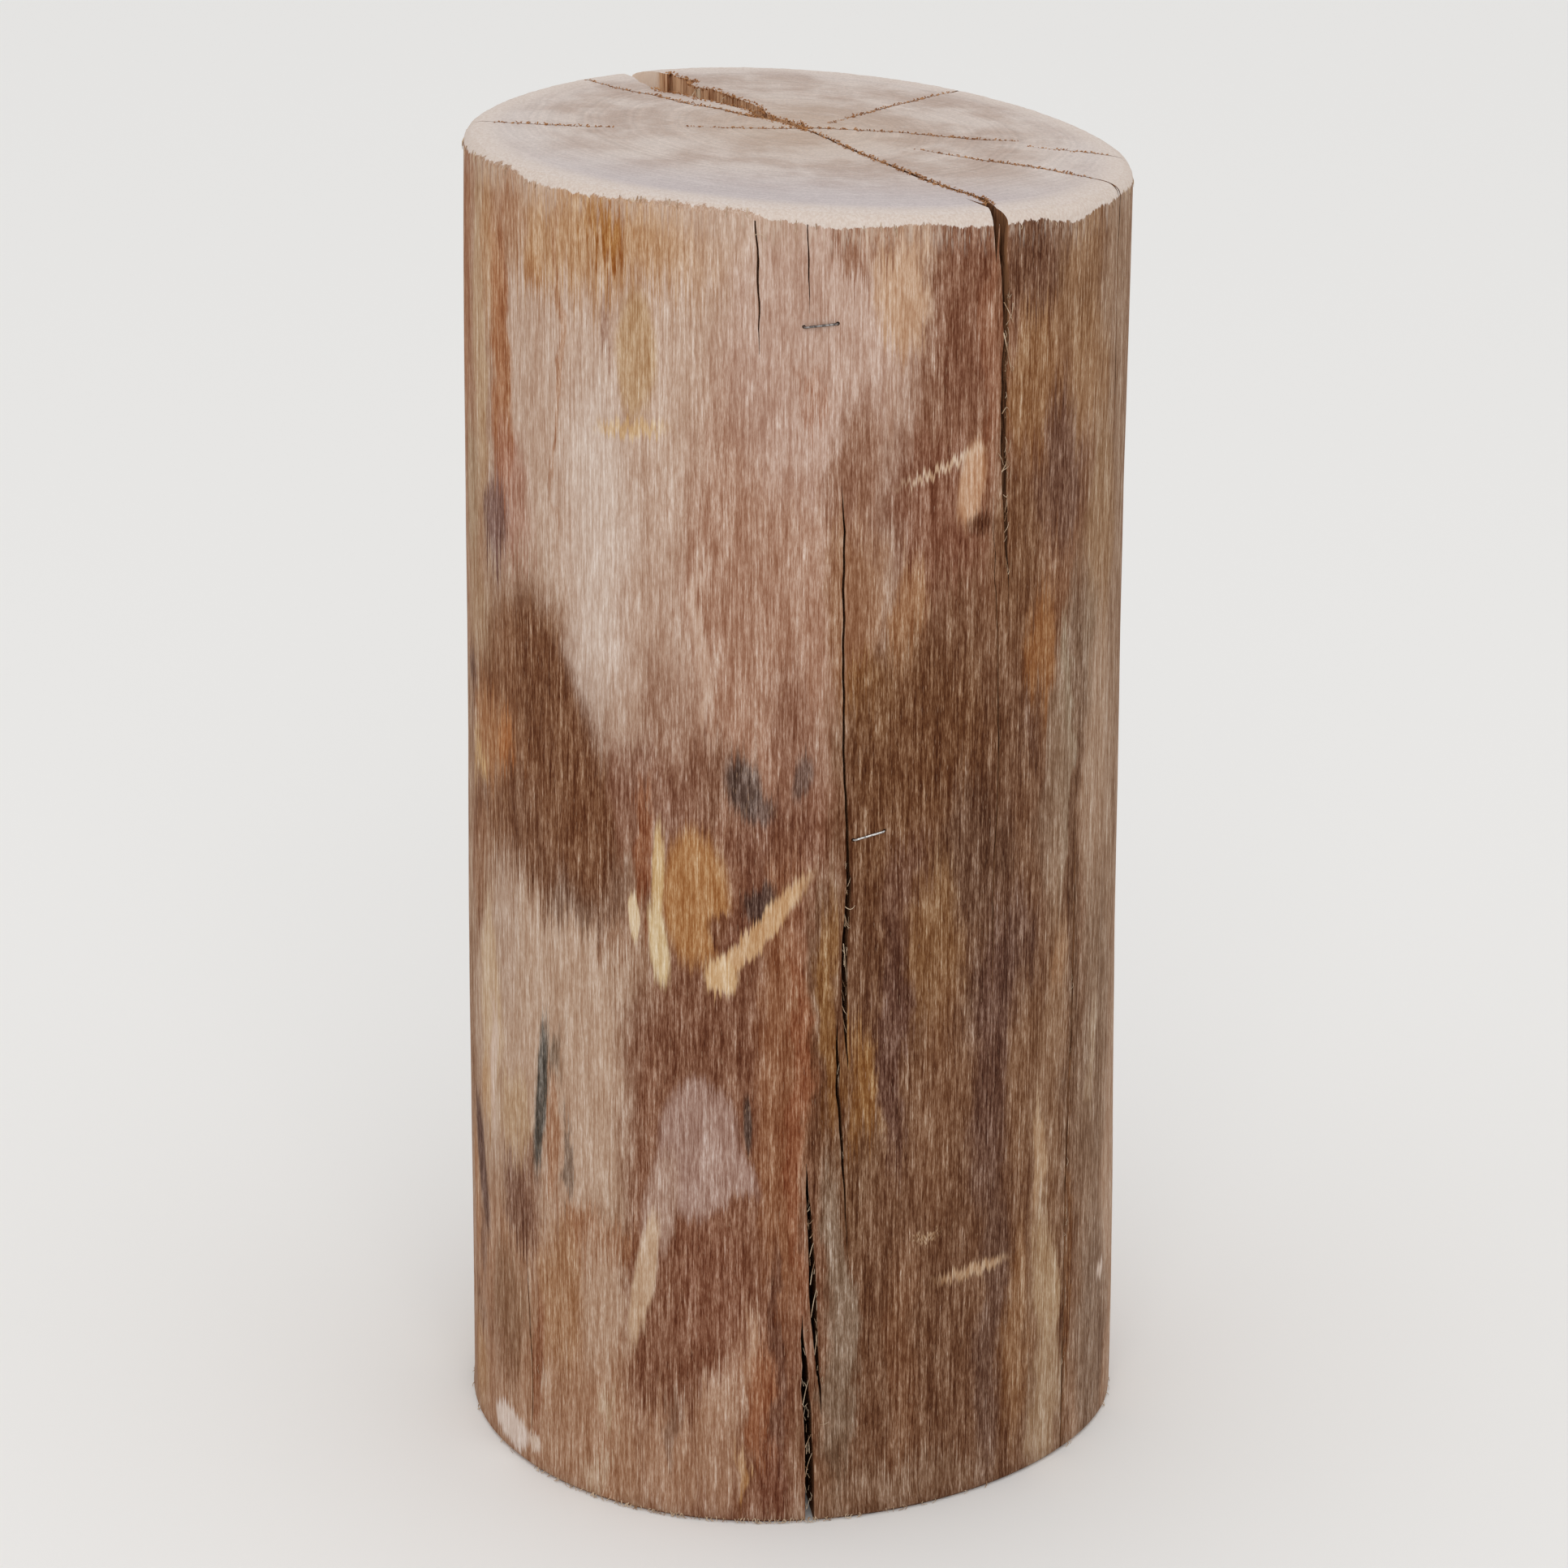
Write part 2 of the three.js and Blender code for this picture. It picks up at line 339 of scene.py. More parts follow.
# The wide split at the back, open from the pith to the outside. Its two faces are torn, with
# splinters standing along the grain. It narrows towards the base.
split_heading = 128  # the way it runs out from the pith, in degrees from the right
split_at_base = 0.5  # its width at the base, as a share of its width in the top
splinter_size = 2.6
splinter_length = 70
splinter_out = 0.75
finer = 2.3  # how many times finer the second row of splinters is
finer_out = 0.5
bulge_size = 14
bulge_length = 110
bulge_out = 1.6
split_edge = [  # its outline in the top, out along the left face and back along the right
    (3.6, 12.2), (-4.4, 19.2), (-12.4, 26), (-14.2, 35.6), (-25.4, 44.6), (-32.4, 49), (-36.2, 54),
    (-43.4, 55.6), (-46.6, 61.5), (-50, 68), (-53.6, 77), (-58, 83), (-66, 92),
    (-66, 98), (-54.5, 89.4), (-48, 87.4), (-42.6, 85.4), (-41, 88.2), (-39.4, 83), (-37.2, 81.4),
    (-32.4, 76), (-34.6, 71.6),
    (-30.4, 64.6), (-27.2, 66.4), (-20.4, 56.4), (-12.4, 45.4), (-9.8, 39.4), (-8.6, 32),
    (-1.6, 22.6), (4.6, 14.8),
]
outward = Vector((cos(radians(split_heading)), sin(radians(split_heading)), 0))
sideways = Vector((-outward.y, outward.x, 0))
pith = Vector((4, 13, 0))
ring_points = []
for start, end in zip(split_edge, split_edge[1:] + split_edge[:1]):
    start, end = Vector((*start, 0)), Vector((*end, 0))
    count = max(1, round((end - start).length / 1.8))
    ring_points += [start.lerp(end, k / count) for k in range(count)]
split = bmesh.new()
ring = [split.verts.new(point) for point in ring_points]
face = split.faces.new(ring)
floor_level, ceiling = -6.0, 474.0
levels = 72
for i in range(levels + 1):
    level = floor_level + (ceiling - floor_level) * i / levels
    if i:
        face = drawn_out(split, face, i == 1)
        ring = list(face.verts)
    width = split_at_base + (1 - split_at_base) * min(1, max(0, level / height))
    targets = []
    for point in ring_points:
        from_pith = point - pith
        away = from_pith.dot(outward)
        beside = from_pith.dot(sideways) * width
        spot = Vector((point.x / splinter_size, point.y / splinter_size, level / splinter_length))
        beside += splinter_out * noise.noise(spot) + finer_out * noise.noise(spot * finer)
        spot = Vector((point.x / bulge_size, point.y / bulge_size, level / bulge_length))
        beside += bulge_out * noise.noise(spot)
        targets.append(pith + outward * away + sideways * beside + Vector((0, 0, level)))
    for vert, target in zip(ring, targets):
        vert.co = target * MM
bmesh.ops.recalc_face_normals(split, faces=split.faces)
cutters.append(new_piece("wide_split", split))


def new_material(name):
    material = bpy.data.materials.new(name)
    material.use_nodes = True
    material.node_tree.nodes.clear()
    return material


weathered = new_material("weathered_sapwood")
end_grain = new_material("sanded_end_grain")

# The holes that the two staples' legs went into, which are cut together with the cracks
staples = {  # each one's place in the trunk: angle, level, and how far its right end is tilted up
    "staple_upper": (3.5, 414.5, 5.5),
    "staple_lower": (13.0, 246.3, 12.5),
}
wire = 0.75
crown = 11.3
leg = 8.0
stand_off = 0.3
hole_bottom = 0.3
hole_mouth = 0.75
hole_depth = 4
hole_sink = 0.9  # how far in from the surface a hole's middle lies


def staple_place(around, level, tilt):
    """The frame a staple stands in: X along its crown, Y up beside it, Z straight out of the wood."""
    out = Vector((sin(radians(around)), -cos(radians(around)), 0))
    level_way = Vector((cos(radians(around)), sin(radians(around)), 0))
    along = level_way * cos(radians(tilt)) + Vector((0, 0, 1)) * sin(radians(tilt))
    turned = Matrix((along, out.cross(along), out)).transposed().to_4x4()
    return Matrix.Translation(trunk_point(around, level) * MM) @ turned


for name, place in staples.items():
    for end in (-1, 1):
        hole = bmesh.new()
        leg_place = Matrix.Translation((end * (crown - wire) / 2 * MM, 0, -hole_sink * MM))
        bmesh.ops.create_cone(
            hole, cap_ends=True, segments=10,
            radius1=hole_bottom * MM, radius2=hole_mouth * MM, depth=hole_depth * MM,
            matrix=staple_place(*place) @ leg_place)
        cutters.append(new_piece(name + "_hole", hole))

# All of them are cut out of the trunk in one go, and each leaves its own wood on the cut faces
split_wood = new_material("torn_heartwood")
# The narrow cracks' walls are painted darker than the wide split, partly as painted shade for their deep
# insides
shaded_crack_wood = new_material("narrow_crack_wood")
log.data.materials.append(weathered)
log.data.materials.append(end_grain)
for cutter in cutters:
    cutter.data.materials.append(split_wood if cutter.name == "wide_split" else shaded_crack_wood)
    cut = log.modifiers.new(cutter.name, "BOOLEAN")
    cut.operation = "DIFFERENCE"
    cut.object = cutter
    cut.solver = "MANIFOLD"
    cut.material_mode = "TRANSFER"
whole = log.evaluated_get(bpy.context.evaluated_depsgraph_get())
cut_mesh = bpy.data.meshes.new_from_object(whole)
log.modifiers.clear()
log.data = cut_mesh
for cutter in cutters:
    bpy.data.objects.remove(cutter)
log.data.set_sharp_from_angle(angle=radians(50))

# Two measures for the change of colour at the rim: how far each corner is below the ragged line
# where the grinding ends, and how far in from the trunk's edge.
below_rim = log.data.attributes.new("below_rim", "FLOAT", "POINT")
from_edge = log.data.attributes.new("from_edge", "FLOAT", "POINT")
for vert, below, inward in zip(log.data.vertices, below_rim.data, from_edge.data):
    x, y, z = vert.co / MM
    level = z / (1 + top_slope * (x - base_middle[0]) / height)
    x -= base_middle[0] + top_lean * level / height
    y -= base_middle[1]
    around = degrees(atan2(x, -y))
    below.value = height - level - ragged_line(around)
    inward.value = trunk_radius(around, level) - hypot(x, y)


def paint(code):
    """A colour for a shader, linear, from its sRGB hex code."""
    parts = [int(code[i:i + 2], 16) / 255 for i in (1, 3, 5)]
    return [c / 12.92 if c <= 0.04045 else ((c + 0.055) / 1.055) ** 2.4 for c in parts] + [1.0]


def add(tree, kind, feeds, result=0, **settings):
    """Adds a node with its settings, feeds its inputs with values or outputs, and gives its result."""
    node = tree.nodes.new("ShaderNode" + kind)
    for name, value in settings.items():
        setattr(node, name, value)
    for socket, value in feeds.items():
        if isinstance(value, bpy.types.NodeSocket):
            tree.links.new(value, node.inputs[socket])
        else:
            node.inputs[socket].default_value = value
    return node.outputs[result]


def noise_at(tree, place, across, along, detail, roughness=0.6, seed=0.0):
    """Noise drawn out along the trunk: across and along are the size of its patches in mm."""
    scaled = add(tree, "VectorMath", {
        0: place, 1: (1 / across, 1 / across, 1 / along), 2: (seed, seed, seed)}, operation="MULTIPLY_ADD")
    return add(tree, "TexNoise", {
        "Vector": scaled, "Scale": 1.0, "Detail": detail, "Roughness": roughness})


def millimetres(tree):
    spot = add(tree, "TexCoord", {}, "Object")
    return add(tree, "VectorMath", {0: spot, "Scale": 1 / MM}, operation="SCALE")


# The bare outside: sapwood weathered where the bark came off, streaked along the grain and marked
# by water and fungus. Each stain is where its middle lies, its half width and half height, how
# soft its edge is, its colour, and how strongly it covers what is under it.
front_stains = [
    # broad zones
    (50, 330, 66, 210, 0.25, "#7f5a42", 1.0),
    (70, 310, 24, 190, 0.3, "#927762", 0.9),
    (-18, 400, 88, 116, 0.35, "#baa293", 1.0),
    (29, 390, 20, 76, 0.3, "#86604b", 0.9),
    (-74, 380, 22, 100, 0.3, "#a38068", 0.9),
    (30, 130, 62, 190, 0.2, "#6c4b36", 1.0),
    (-50, 40, 64, 64, 0.25, "#9f7c64", 1.0),
    (-48, 160, 44, 64, 0.3, "#b39a88", 1.0),
    (-52, 262, 42, 48, 0.25, "#7f583e", 1.0),
    (-13, 100, 33, 140, 0.2, "#7d5642", 1.0),
    (-13, 249, 40, 33, 0.22, "#7d5541", 1.0),
    (-5, 330, 28, 78, 0.3, "#a37f6c", 0.9),
    (4, 405, 30, 46, 0.35, "#b69b8f", 0.8),
    # the pale upper left
    (-34, 335, 13, 62, 0.4, "#c6b5ab", 0.85),
    (-24, 300, 13, 60, 0.4, "#b3998a", 0.6),
    (-21, 284, 9, 18, 0.4, "#93705d", 0.75),
    (-15, 310, 2.6, 32, 0.4, "#c5aea0", 0.8),
    (-38, 436, 44, 17, 0.5, "#b0885f", 0.75),
    (-60, 420, 9, 27, 0.5, "#aa8058", 0.7),
    (-54, 437, 8, 13, 0.5, "#a07a64", 0.6),
    (-31.5, 438, 5, 9, 0.25, "#98622f", 0.9),
    (-34, 441, 9, 6, 0.3, "#a0703f", 0.8),
    (-48, 425, 4, 6, 0.4, "#a3744a", 0.7),
    (-42.5, 400, 1.6, 50, 0.4, "#9a6c4c", 0.7),
    (-31, 410, 2, 12, 0.4, "#8b6450", 0.6),
    (-57, 382, 7, 46, 0.3, "#a3714f", 0.9),
    (-55, 395, 2.5, 44, 0.3, "#93603f", 0.8),
    (-55, 346, 10, 24, 0.4, "#a17462", 0.7),
    (-60, 334, 11, 13, 0.3, "#765850", 0.95),
    (-66, 395, 5, 58, 0.4, "#b59a7e", 0.8),
    (-75, 400, 9, 66, 0.4, "#98694b", 0.85),
    (-72, 340, 9, 26, 0.4, "#a58e74", 0.7),
    (-69, 300, 13, 16, 0.4, "#a68a70", 0.8),
    # round the upper staple and before the main crack
    (18.5, 425, 9, 22, 0.35, "#bfa189", 0.9),
    (11, 438, 5, 10, 0.3, "#8f6751", 0.8),
    (15, 444, 9, 5, 0.3, "#946c55", 0.7),
    (28.5, 416, 11, 34, 0.3, "#7a5340", 0.95),
    (34, 400, 3.5, 50, 0.4, "#8b5f48", 0.7),
    (3, 396, 2, 4, 0.5, "#97684f", 0.7),
    (4, 387, 2.6, 5, 0.5, "#97684f", 0.6),
    (11, 364, 9, 24, 0.4, "#906c59", 0.95),
    (24, 352, 17, 27, 0.35, "#7c5340", 0.9),
    (11, 318, 8, 34, 0.35, "#926c52", 0.9),
    (20, 316, 7, 17, 0.4, "#9b714f", 0.7),
    (14, 290, 9, 12, 0.4, "#93693f", 0.7),
    (22, 258, 28, 48, 0.3, "#67442c", 0.95),
    # right of the main crack
    (43, 432, 15, 22, 0.3, "#62412f", 0.95),
    (48, 418, 6, 6, 0.4, "#6a4a38", 0.7),
    (43.5, 393, 12, 20, 0.35, "#8b6545", 0.85),
    (55, 420, 12, 34, 0.4, "#8f6f53", 0.7),
    (50, 356, 11, 28, 0.35, "#694a3b", 0.9),
    (41, 335, 9, 32, 0.35, "#735139", 0.8),
    (58, 385, 12, 22, 0.4, "#957253", 0.7),
    (64, 330, 11, 40, 0.4, "#97795e", 0.85),
    (46, 292, 6, 22, 0.35, "#94663f", 0.8),
    (44, 276, 5, 11, 0.4, "#5e4031", 0.7),
    (58, 292, 8, 30, 0.5, "#7d6a5a", 0.6),
    (53, 260, 4.5, 42, 0.35, "#93836f", 0.9),
    (65, 252, 12, 50, 0.35, "#a08672", 0.9),
    (33, 236, 15, 26, 0.35, "#5f4231", 0.9),
    (20, 226, 9, 18, 0.4, "#674739", 0.7),
    # paler and darker patches between and below these
    (51, 248, 8, 42, 0.4, "#8f7764", 0.9),
    (50, 438, 8, 8, 0.4, "#80624e", 0.9),
    (20, 60, 6, 40, 0.4, "#7f5b43", 0.7),
    (-9, 60, 5, 16, 0.4, "#9d7862", 0.8),
    (0, 278, 10, 24, 0.4, "#835d4b", 0.7),
    (-22, 262, 7, 10, 0.4, "#7f5a48", 0.8),
    (-14, 262, 14, 12, 0.4, "#75523f", 0.7),
    (-30, 212, 8, 16, 0.4, "#8f6c56", 0.8),
    (20, 160, 8, 24, 0.4, "#63432f", 0.95),
    (11, 122, 7, 26, 0.4, "#694933", 0.9),
    (0, 215, 7, 22, 0.4, "#7f5440", 0.8),
    (36, 188, 11, 22, 0.4, "#5a3d2d", 0.95),
    (52, 180, 5, 26, 0.4, "#85664e", 0.8),
    # the left, down from the dark patch
    (-38, 240, 15, 24, 0.25, "#6f4a33", 0.9),
    (-37, 222, 19, 13, 0.4, "#7b6152", 0.8),
    (-73, 277, 9, 6, 0.4, "#614538", 0.85),
    (-64, 262, 14, 15, 0.4, "#a0724e", 0.85),
    (-58, 262, 5, 10, 0.4, "#a56b3f", 0.7),
    (-69, 247, 7, 5, 0.4, "#c4a173", 0.85),
    (-72, 259, 4, 3, 0.5, "#d0b69c", 0.8),
    (-67, 235, 9, 6, 0.4, "#684634", 0.75),
    (-48, 250, 8, 14, 0.5, "#8f5f3c", 0.5),
    (-51, 236, 16, 18, 0.4, "#724e38", 0.95),
    (-70, 214, 14, 22, 0.4, "#8a6349", 0.95),
    (-51, 104, 6, 22, 0.4, "#7d5843", 0.85),
    (-60, 38, 10, 13, 0.4, "#825e46", 0.8),
    (-64, 160, 9, 40, 0.4, "#c0a88f", 0.9),
    (-63, 138, 4, 24, 0.4, "#cdbab0", 0.7),
    (-57, 190, 7, 24, 0.4, "#ab9282", 0.6),
    (-55, 128, 8, 13, 0.4, "#ae9170", 0.6),
    (-44.5, 158, 5, 9, 0.5, "#6d5f52", 0.7),
    (-44.5, 128, 4, 22, 0.4, "#96694a", 0.75),
    (-41, 122, 1.7, 16, 0.4, "#6a594e", 0.7),
    (-55, 98, 9, 14, 0.3, "#6f4c3b", 0.9),
    (-70, 72, 4, 12, 0.4, "#7a5a4a", 0.7),
    (-66, 130, 5, 10, 0.5, "#b08a63", 0.6),
    (-75, 90, 5, 24, 0.5, "#a67c5c", 0.7),
    (-35, 96, 16, 9, 0.4, "#936546", 0.75),
    (-43, 68, 12, 26, 0.4, "#99714f", 0.6),
    (-58, 60, 12, 16, 0.4, "#84654d", 0.65),
    (-72, 42, 8, 6, 0.4, "#6f4f3c", 0.65),
    (-74, 20, 10, 14, 0.5, "#a07a57", 0.7),
    (-49, 40, 2.5, 34, 0.4, "#85553a", 0.7),
    (-33, 74, 10, 24, 0.4, "#af9480", 0.8),
    (-33, 33, 3, 8, 0.3, "#b59d87", 0.85),
    (-47.5, 37, 1.4, 4, 0.4, "#bda897", 0.8),
    (-35.5, 8, 3, 5, 0.4, "#b9a28d", 0.85),
    # between the cracks, middle and low
    (-23, 258, 15, 15, 0.3, "#7f5947", 0.8),
    (-3, 243, 14, 12, 0.4, "#6c4534", 0.8),
    (-25.5, 235, 3, 20, 0.4, "#8a5536", 0.7),
    (-15, 180, 22, 26, 0.3, "#754f3c", 0.8),
    (-1, 155, 9, 78, 0.3, "#8c6146", 0.8),
    (1.5, 150, 3, 62, 0.4, "#80492e", 0.6),
    (-14, 85, 13, 26, 0.4, "#794f3c", 0.65),
    (-13, 44, 6, 10, 0.4, "#ad8f7d", 0.8),
    (-7, 62, 2.6, 15, 0.4, "#b08f78", 0.75),
    (-5, 42, 4, 22, 0.4, "#956346", 0.7),
    (-8, 14, 2, 9, 0.4, "#bb9568", 0.7),
    (-3.5, 17, 4, 14, 0.4, "#6f4534", 0.7),
    (-2.5, 62, 2.2, 42, 0.4, "#674638", 0.7),
    (-21, 22, 11, 24, 0.4, "#a98871", 0.8),
    (-12, 28, 9, 26, 0.4, "#a6856e", 0.7),
    (-20, 34, 2.5, 14, 0.4, "#8a7264", 0.6),
    # the lower right
    (8, 70, 5, 52, 0.4, "#84705f", 0.8),
    (7, 182, 4, 36, 0.4, "#8a6238", 0.65),
    (12, 158, 5, 18, 0.4, "#8f6539", 0.75),
    (17.5, 172, 5, 44, 0.35, "#5d3f33", 0.9),
    (25, 200, 9, 30, 0.4, "#84603f", 0.7),
    (26, 150, 10, 40, 0.4, "#7d5a42", 0.6),
    (37, 160, 8, 52, 0.35, "#5f4236", 0.85),
    (42, 196, 7, 24, 0.4, "#5d4135", 0.75),
    (44, 150, 8, 40, 0.4, "#7d5b42", 0.6),
    (37.5, 60, 6, 60, 0.4, "#64483a", 0.85),
    (44.5, 58, 6, 40, 0.4, "#8d6849", 0.75),
    (57, 150, 3.6, 150, 0.4, "#6b4f3c", 0.75),
    (51, 100, 8, 110, 0.4, "#8a6b53", 0.8),
    (49.5, 116, 4, 19, 0.3, "#ae9277", 0.9),
    (51.5, 62, 5.4, 32, 0.4, "#a88e72", 0.9),
    (52, 22, 8, 26, 0.4, "#a68e76", 0.9),
    (52, 190, 5, 9, 0.4, "#a07e62", 0.75),
    (57.6, 70, 2, 60, 0.4, "#70492c", 0.85),
    (66, 140, 14, 70, 0.4, "#806754", 0.7),
    (64.5, 148, 2.4, 20, 0.4, "#a8927d", 0.75),
    (68, 38, 14, 42, 0.4, "#78604f", 0.85),
    (22, 10, 30, 8, 0.5, "#8a6f5b", 0.6),
]
# Marks with crisper edges, some lying aslant: scars, bare patches and the outlines of old bark.
# The first four figures are as above, then how far its upper end leans to the right, in degrees.
front_marks = [
    (-42.5, 264, 16, 52, -18, 0.25, "#6f4931", 0.95),
    (-27, 401, 6.5, 20, 0, 0.25, "#b3946c", 0.65),
    (-28, 377.5, 12, 2.4, -6, 0.4, "#c8ab84", 0.8),
    (-16.5, 223, 11, 23, 0, 0.2, "#a67a50", 0.95),
    (-22.8, 230, 2.2, 17, 0, 0.3, "#c9ae84", 0.9),
    (-23, 206, 3.2, 14, -6, 0.25, "#cbb692", 0.95),
    (-27.5, 213, 2.0, 8.5, 0, 0.2, "#cfbb9d", 0.95),
    (-10.5, 212, 7, 8, 0, 0.2, "#6b4331", 0.9),
    (-5.5, 224, 7, 5, -40, 0.35, "#4b3832", 0.9),
    (-5.5, 213, 3.8, 25, 40, 0.25, "#c8a986", 0.9),
    (-12, 197, 6, 6.5, 0, 0.2, "#c9ac88", 0.95),
    (-8.5, 262, 6, 10, -22, 0.35, "#50423d", 0.85),
    (-5.5, 254, 5, 5, 0, 0.4, "#574640", 0.8),
    (1.5, 266, 3, 8, 14, 0.4, "#65544e", 0.75),
    (-16, 135, 14, 24, 0, 0.15, "#a2877d", 0.95),
    (-10.5, 130, 6, 13, -40, 0.25, "#a2877d", 0.95),
    (-22.5, 114, 6, 20, 8, 0.25, "#a18577", 0.9),
    (-7.6, 146, 1.6, 10, -4, 0.4, "#50423c", 0.85),
    (-25.6, 85, 3.6, 25, 10, 0.25, "#bda48d", 0.95),
    (-47.8, 140, 2.9, 28, 5, 0.3, "#4b4742", 0.95),
    (-70, 100, 5, 24, -14, 0.3, "#5c4037", 0.9),
    (-58, 10.5, 12, 7, 0, 0.15, "#cfc1ba", 1.0),
    (-50, 11, 3.4, 3.4, 0, 0.25, "#c6b3a6", 0.95),
    (31, 359, 5, 14, 8, 0.25, "#bb977c", 0.95),
    (33, 346, 5.5, 3.4, 0, 0.4, "#57331f", 0.9),
    (26, 366, 15, 1.3, -20, 0.5, "#cbb39c", 0.8),
    (24, 101.7, 5.5, 0.5, 0, 0.4, "#b79c80", 0.9),
    (24, 100, 5.5, 0.45, 0, 0.4, "#b79c80", 0.8),
    (33.5, 84, 14, 2.2, -4, 0.4, "#b3967a", 0.85),
    (71.5, 58, 3, 3, 0, 0.5, "#cfc0b6", 0.9),
]
# The same on the hidden side, measured from the middle of the back.
back_stains = [
    (-72, 300, 45, 130, 0.35, "#8d6b53", 0.9),
    (72, 250, 50, 170, 0.35, "#a3866f", 0.9),
    (10, 380, 70, 110, 0.35, "#b59a85", 0.9),
    (-20, 160, 60, 120, 0.35, "#765440", 0.9),
    (45, 90, 50, 90, 0.35, "#8a664e", 0.9),
    (-60, 90, 40, 80, 0.35, "#a08370", 0.8),
    (15, 260, 22, 60, 0.35, "#6d4a36", 0.9),
    (-8, 330, 12, 50, 0.35, "#c0a999", 0.7),
    (40, 330, 14, 70, 0.35, "#a3745a", 0.7),
    (62, 170, 12, 55, 0.35, "#74533f", 0.8),
    (28, 160, 16, 30, 0.35, "#a48b80", 0.8),
    (-40, 250, 14, 70, 0.35, "#b3957a", 0.8),
    (-12, 80, 18, 40, 0.35, "#9d7552", 0.7),
    (-75, 180, 10, 60, 0.35, "#66483b", 0.7),
    (80, 60, 12, 60, 0.35, "#b79e85", 0.7),
    (-50, 400, 16, 40, 0.35, "#7c5745", 0.8),
]

# Weathered sapwood is dry and matt. Nothing on it shines, so the eye goes to its streaks and to the
# ridges between its fibres. Single fibres, about 0.03 mm wide, are too fine to show: the finest
# patterns here, dash, fibre and comb, are drawn as coarse as they need to show, 0.36 to 0.5 mm.
tree = weathered.node_tree
place = millimetres(tree)
xyz = add(tree, "SeparateXYZ", {0: place}).node.outputs
fibre = noise_at(tree, place, 0.42, 3.4, 3.0, 0.7)
comb = noise_at(tree, place, 0.5, 30, 2.0, 0.6, 6.0)
mottle = noise_at(tree, place, 2.4, 7, 3.0, 0.6, 8.0)
streak = noise_at(tree, place, 1.2, 15, 4.0, 0.7, 5.0)
island = noise_at(tree, place, 6, 44, 5.0, 0.72, 2.0)
cloud = noise_at(tree, place, 38, 80, 2.0, 0.5, 7.0)
feather = noise_at(tree, place, 0.9, 60, 3.0, 0.7, 3.0)
sway = noise_at(tree, place, 20, 42, 3.0, 0.6, 1.0)
drift = noise_at(tree, place, 15, 60, 2.0, 0.5, 9.0)
dash = noise_at(tree, place, 0.36, 4.0, 1.0, 0.5, 4.0)

# Stain edges wander, and run out along the grain in fine teeth. Each reach is how many mm a pattern
# shifts them from none to full. A stain's middle moves along by half of it, and so stays in place.
sway_reach = 22.0
feather_reach = 44.0
drift_reach = 26.0
comb_reach = 34.0
streak_reach = 7.0
rise = add(tree, "Math", {0: feather, 1: feather_reach, 2: xyz["Z"]}, operation="MULTIPLY_ADD")
rise = add(tree, "Math", {0: drift, 1: drift_reach, 2: rise}, operation="MULTIPLY_ADD")
rise = add(tree, "Math", {0: comb, 1: comb_reach, 2: rise}, operation="MULTIPLY_ADD")
minus_x = add(tree, "Math", {0: xyz["X"], 1: -1.0}, operation="MULTIPLY")
minus_y = add(tree, "Math", {0: xyz["Y"], 1: -1.0}, operation="MULTIPLY")
ground = add(tree, "Mix", {
    0: add(tree, "MapRange", {0: cloud, 1: 0.35, 2: 0.65}, interpolation_type="SMOOTHSTEP"),
    6: paint("#907059"), 7: paint("#a58a76")}, 2, data_type="RGBA")
for stains, across, towards in (
    (back_stains, minus_x, xyz["Y"]),
    (front_stains, xyz["X"], minus_y),
):
    turn = add(tree, "Math", {0: across, 1: towards}, operation="ARCTAN2")
    arc = add(tree, "Math", {0: turn, 1: base_radius}, operation="MULTIPLY")
    swayed = add(tree, "Math", {0: sway, 1: sway_reach, 2: arc}, operation="MULTIPLY_ADD")
    swayed = add(tree, "Math", {0: streak, 1: streak_reach, 2: swayed}, operation="MULTIPLY_ADD")
    unrolled = add(tree, "CombineXYZ", {"X": swayed, "Y": rise})
    for around, level, half_width, half_height, edge, code, cover in stains:
        middle_across = radians(around) * base_radius + (sway_reach + streak_reach) / 2
        middle_up = level + (feather_reach + drift_reach + comb_reach) / 2
        offset = (-middle_across / half_width, -middle_up / half_height, 0)
        reach = add(tree, "VectorMath", {
            0: unrolled, 1: (1 / half_width, 1 / half_height, 0), 2: offset}, operation="MULTIPLY_ADD")
        reach = add(tree, "VectorMath", {0: reach}, "Value", operation="LENGTH")
        ground = add(tree, "Mix", {
            0: add(tree, "MapRange", {
                0: reach, 1: 1 + edge, 2: 1 - edge, 3: 0.0, 4: cover}, interpolation_type="SMOOTHSTEP"),
            6: ground, 7: paint(code)}, 2, data_type="RGBA")

# The marks wander less, so their edges stay crisper
mark_sway = 5.0
mark_streak = 2.0
mark_feather = 17.0
mark_drift = 5.0
arc = add(tree, "Math", {0: sway, 1: mark_sway, 2: arc}, operation="MULTIPLY_ADD")
arc = add(tree, "Math", {0: streak, 1: mark_streak, 2: arc}, operation="MULTIPLY_ADD")
jagged = add(tree, "Math", {0: feather, 1: mark_feather, 2: xyz["Z"]}, operation="MULTIPLY_ADD")
jagged = add(tree, "Math", {0: drift, 1: mark_drift, 2: jagged}, operation="MULTIPLY_ADD")
unrolled = add(tree, "CombineXYZ", {"X": arc, "Y": jagged})
for around, level, half_width, half_height, lean, edge, code, cover in front_marks:
    middle_across = radians(around) * base_radius + (mark_sway + mark_streak) / 2
    middle = (middle_across, level + (mark_feather + mark_drift) / 2, 0)
    patch = add(tree, "Mapping", {
        "Vector": unrolled, "Location": middle, "Rotation": (0, 0, -radians(lean)),
        "Scale": (half_width, half_height, 1)}, vector_type="TEXTURE")
    reach = add(tree, "VectorMath", {0: patch}, "Value", operation="LENGTH")
    ground = add(tree, "Mix", {
        0: add(tree, "MapRange", {
            0: reach, 1: 1 + edge, 2: 1 - edge, 3: 0.0, 4: cover}, interpolation_type="SMOOTHSTEP"),
        6: ground, 7: paint(code)}, 2, data_type="RGBA")

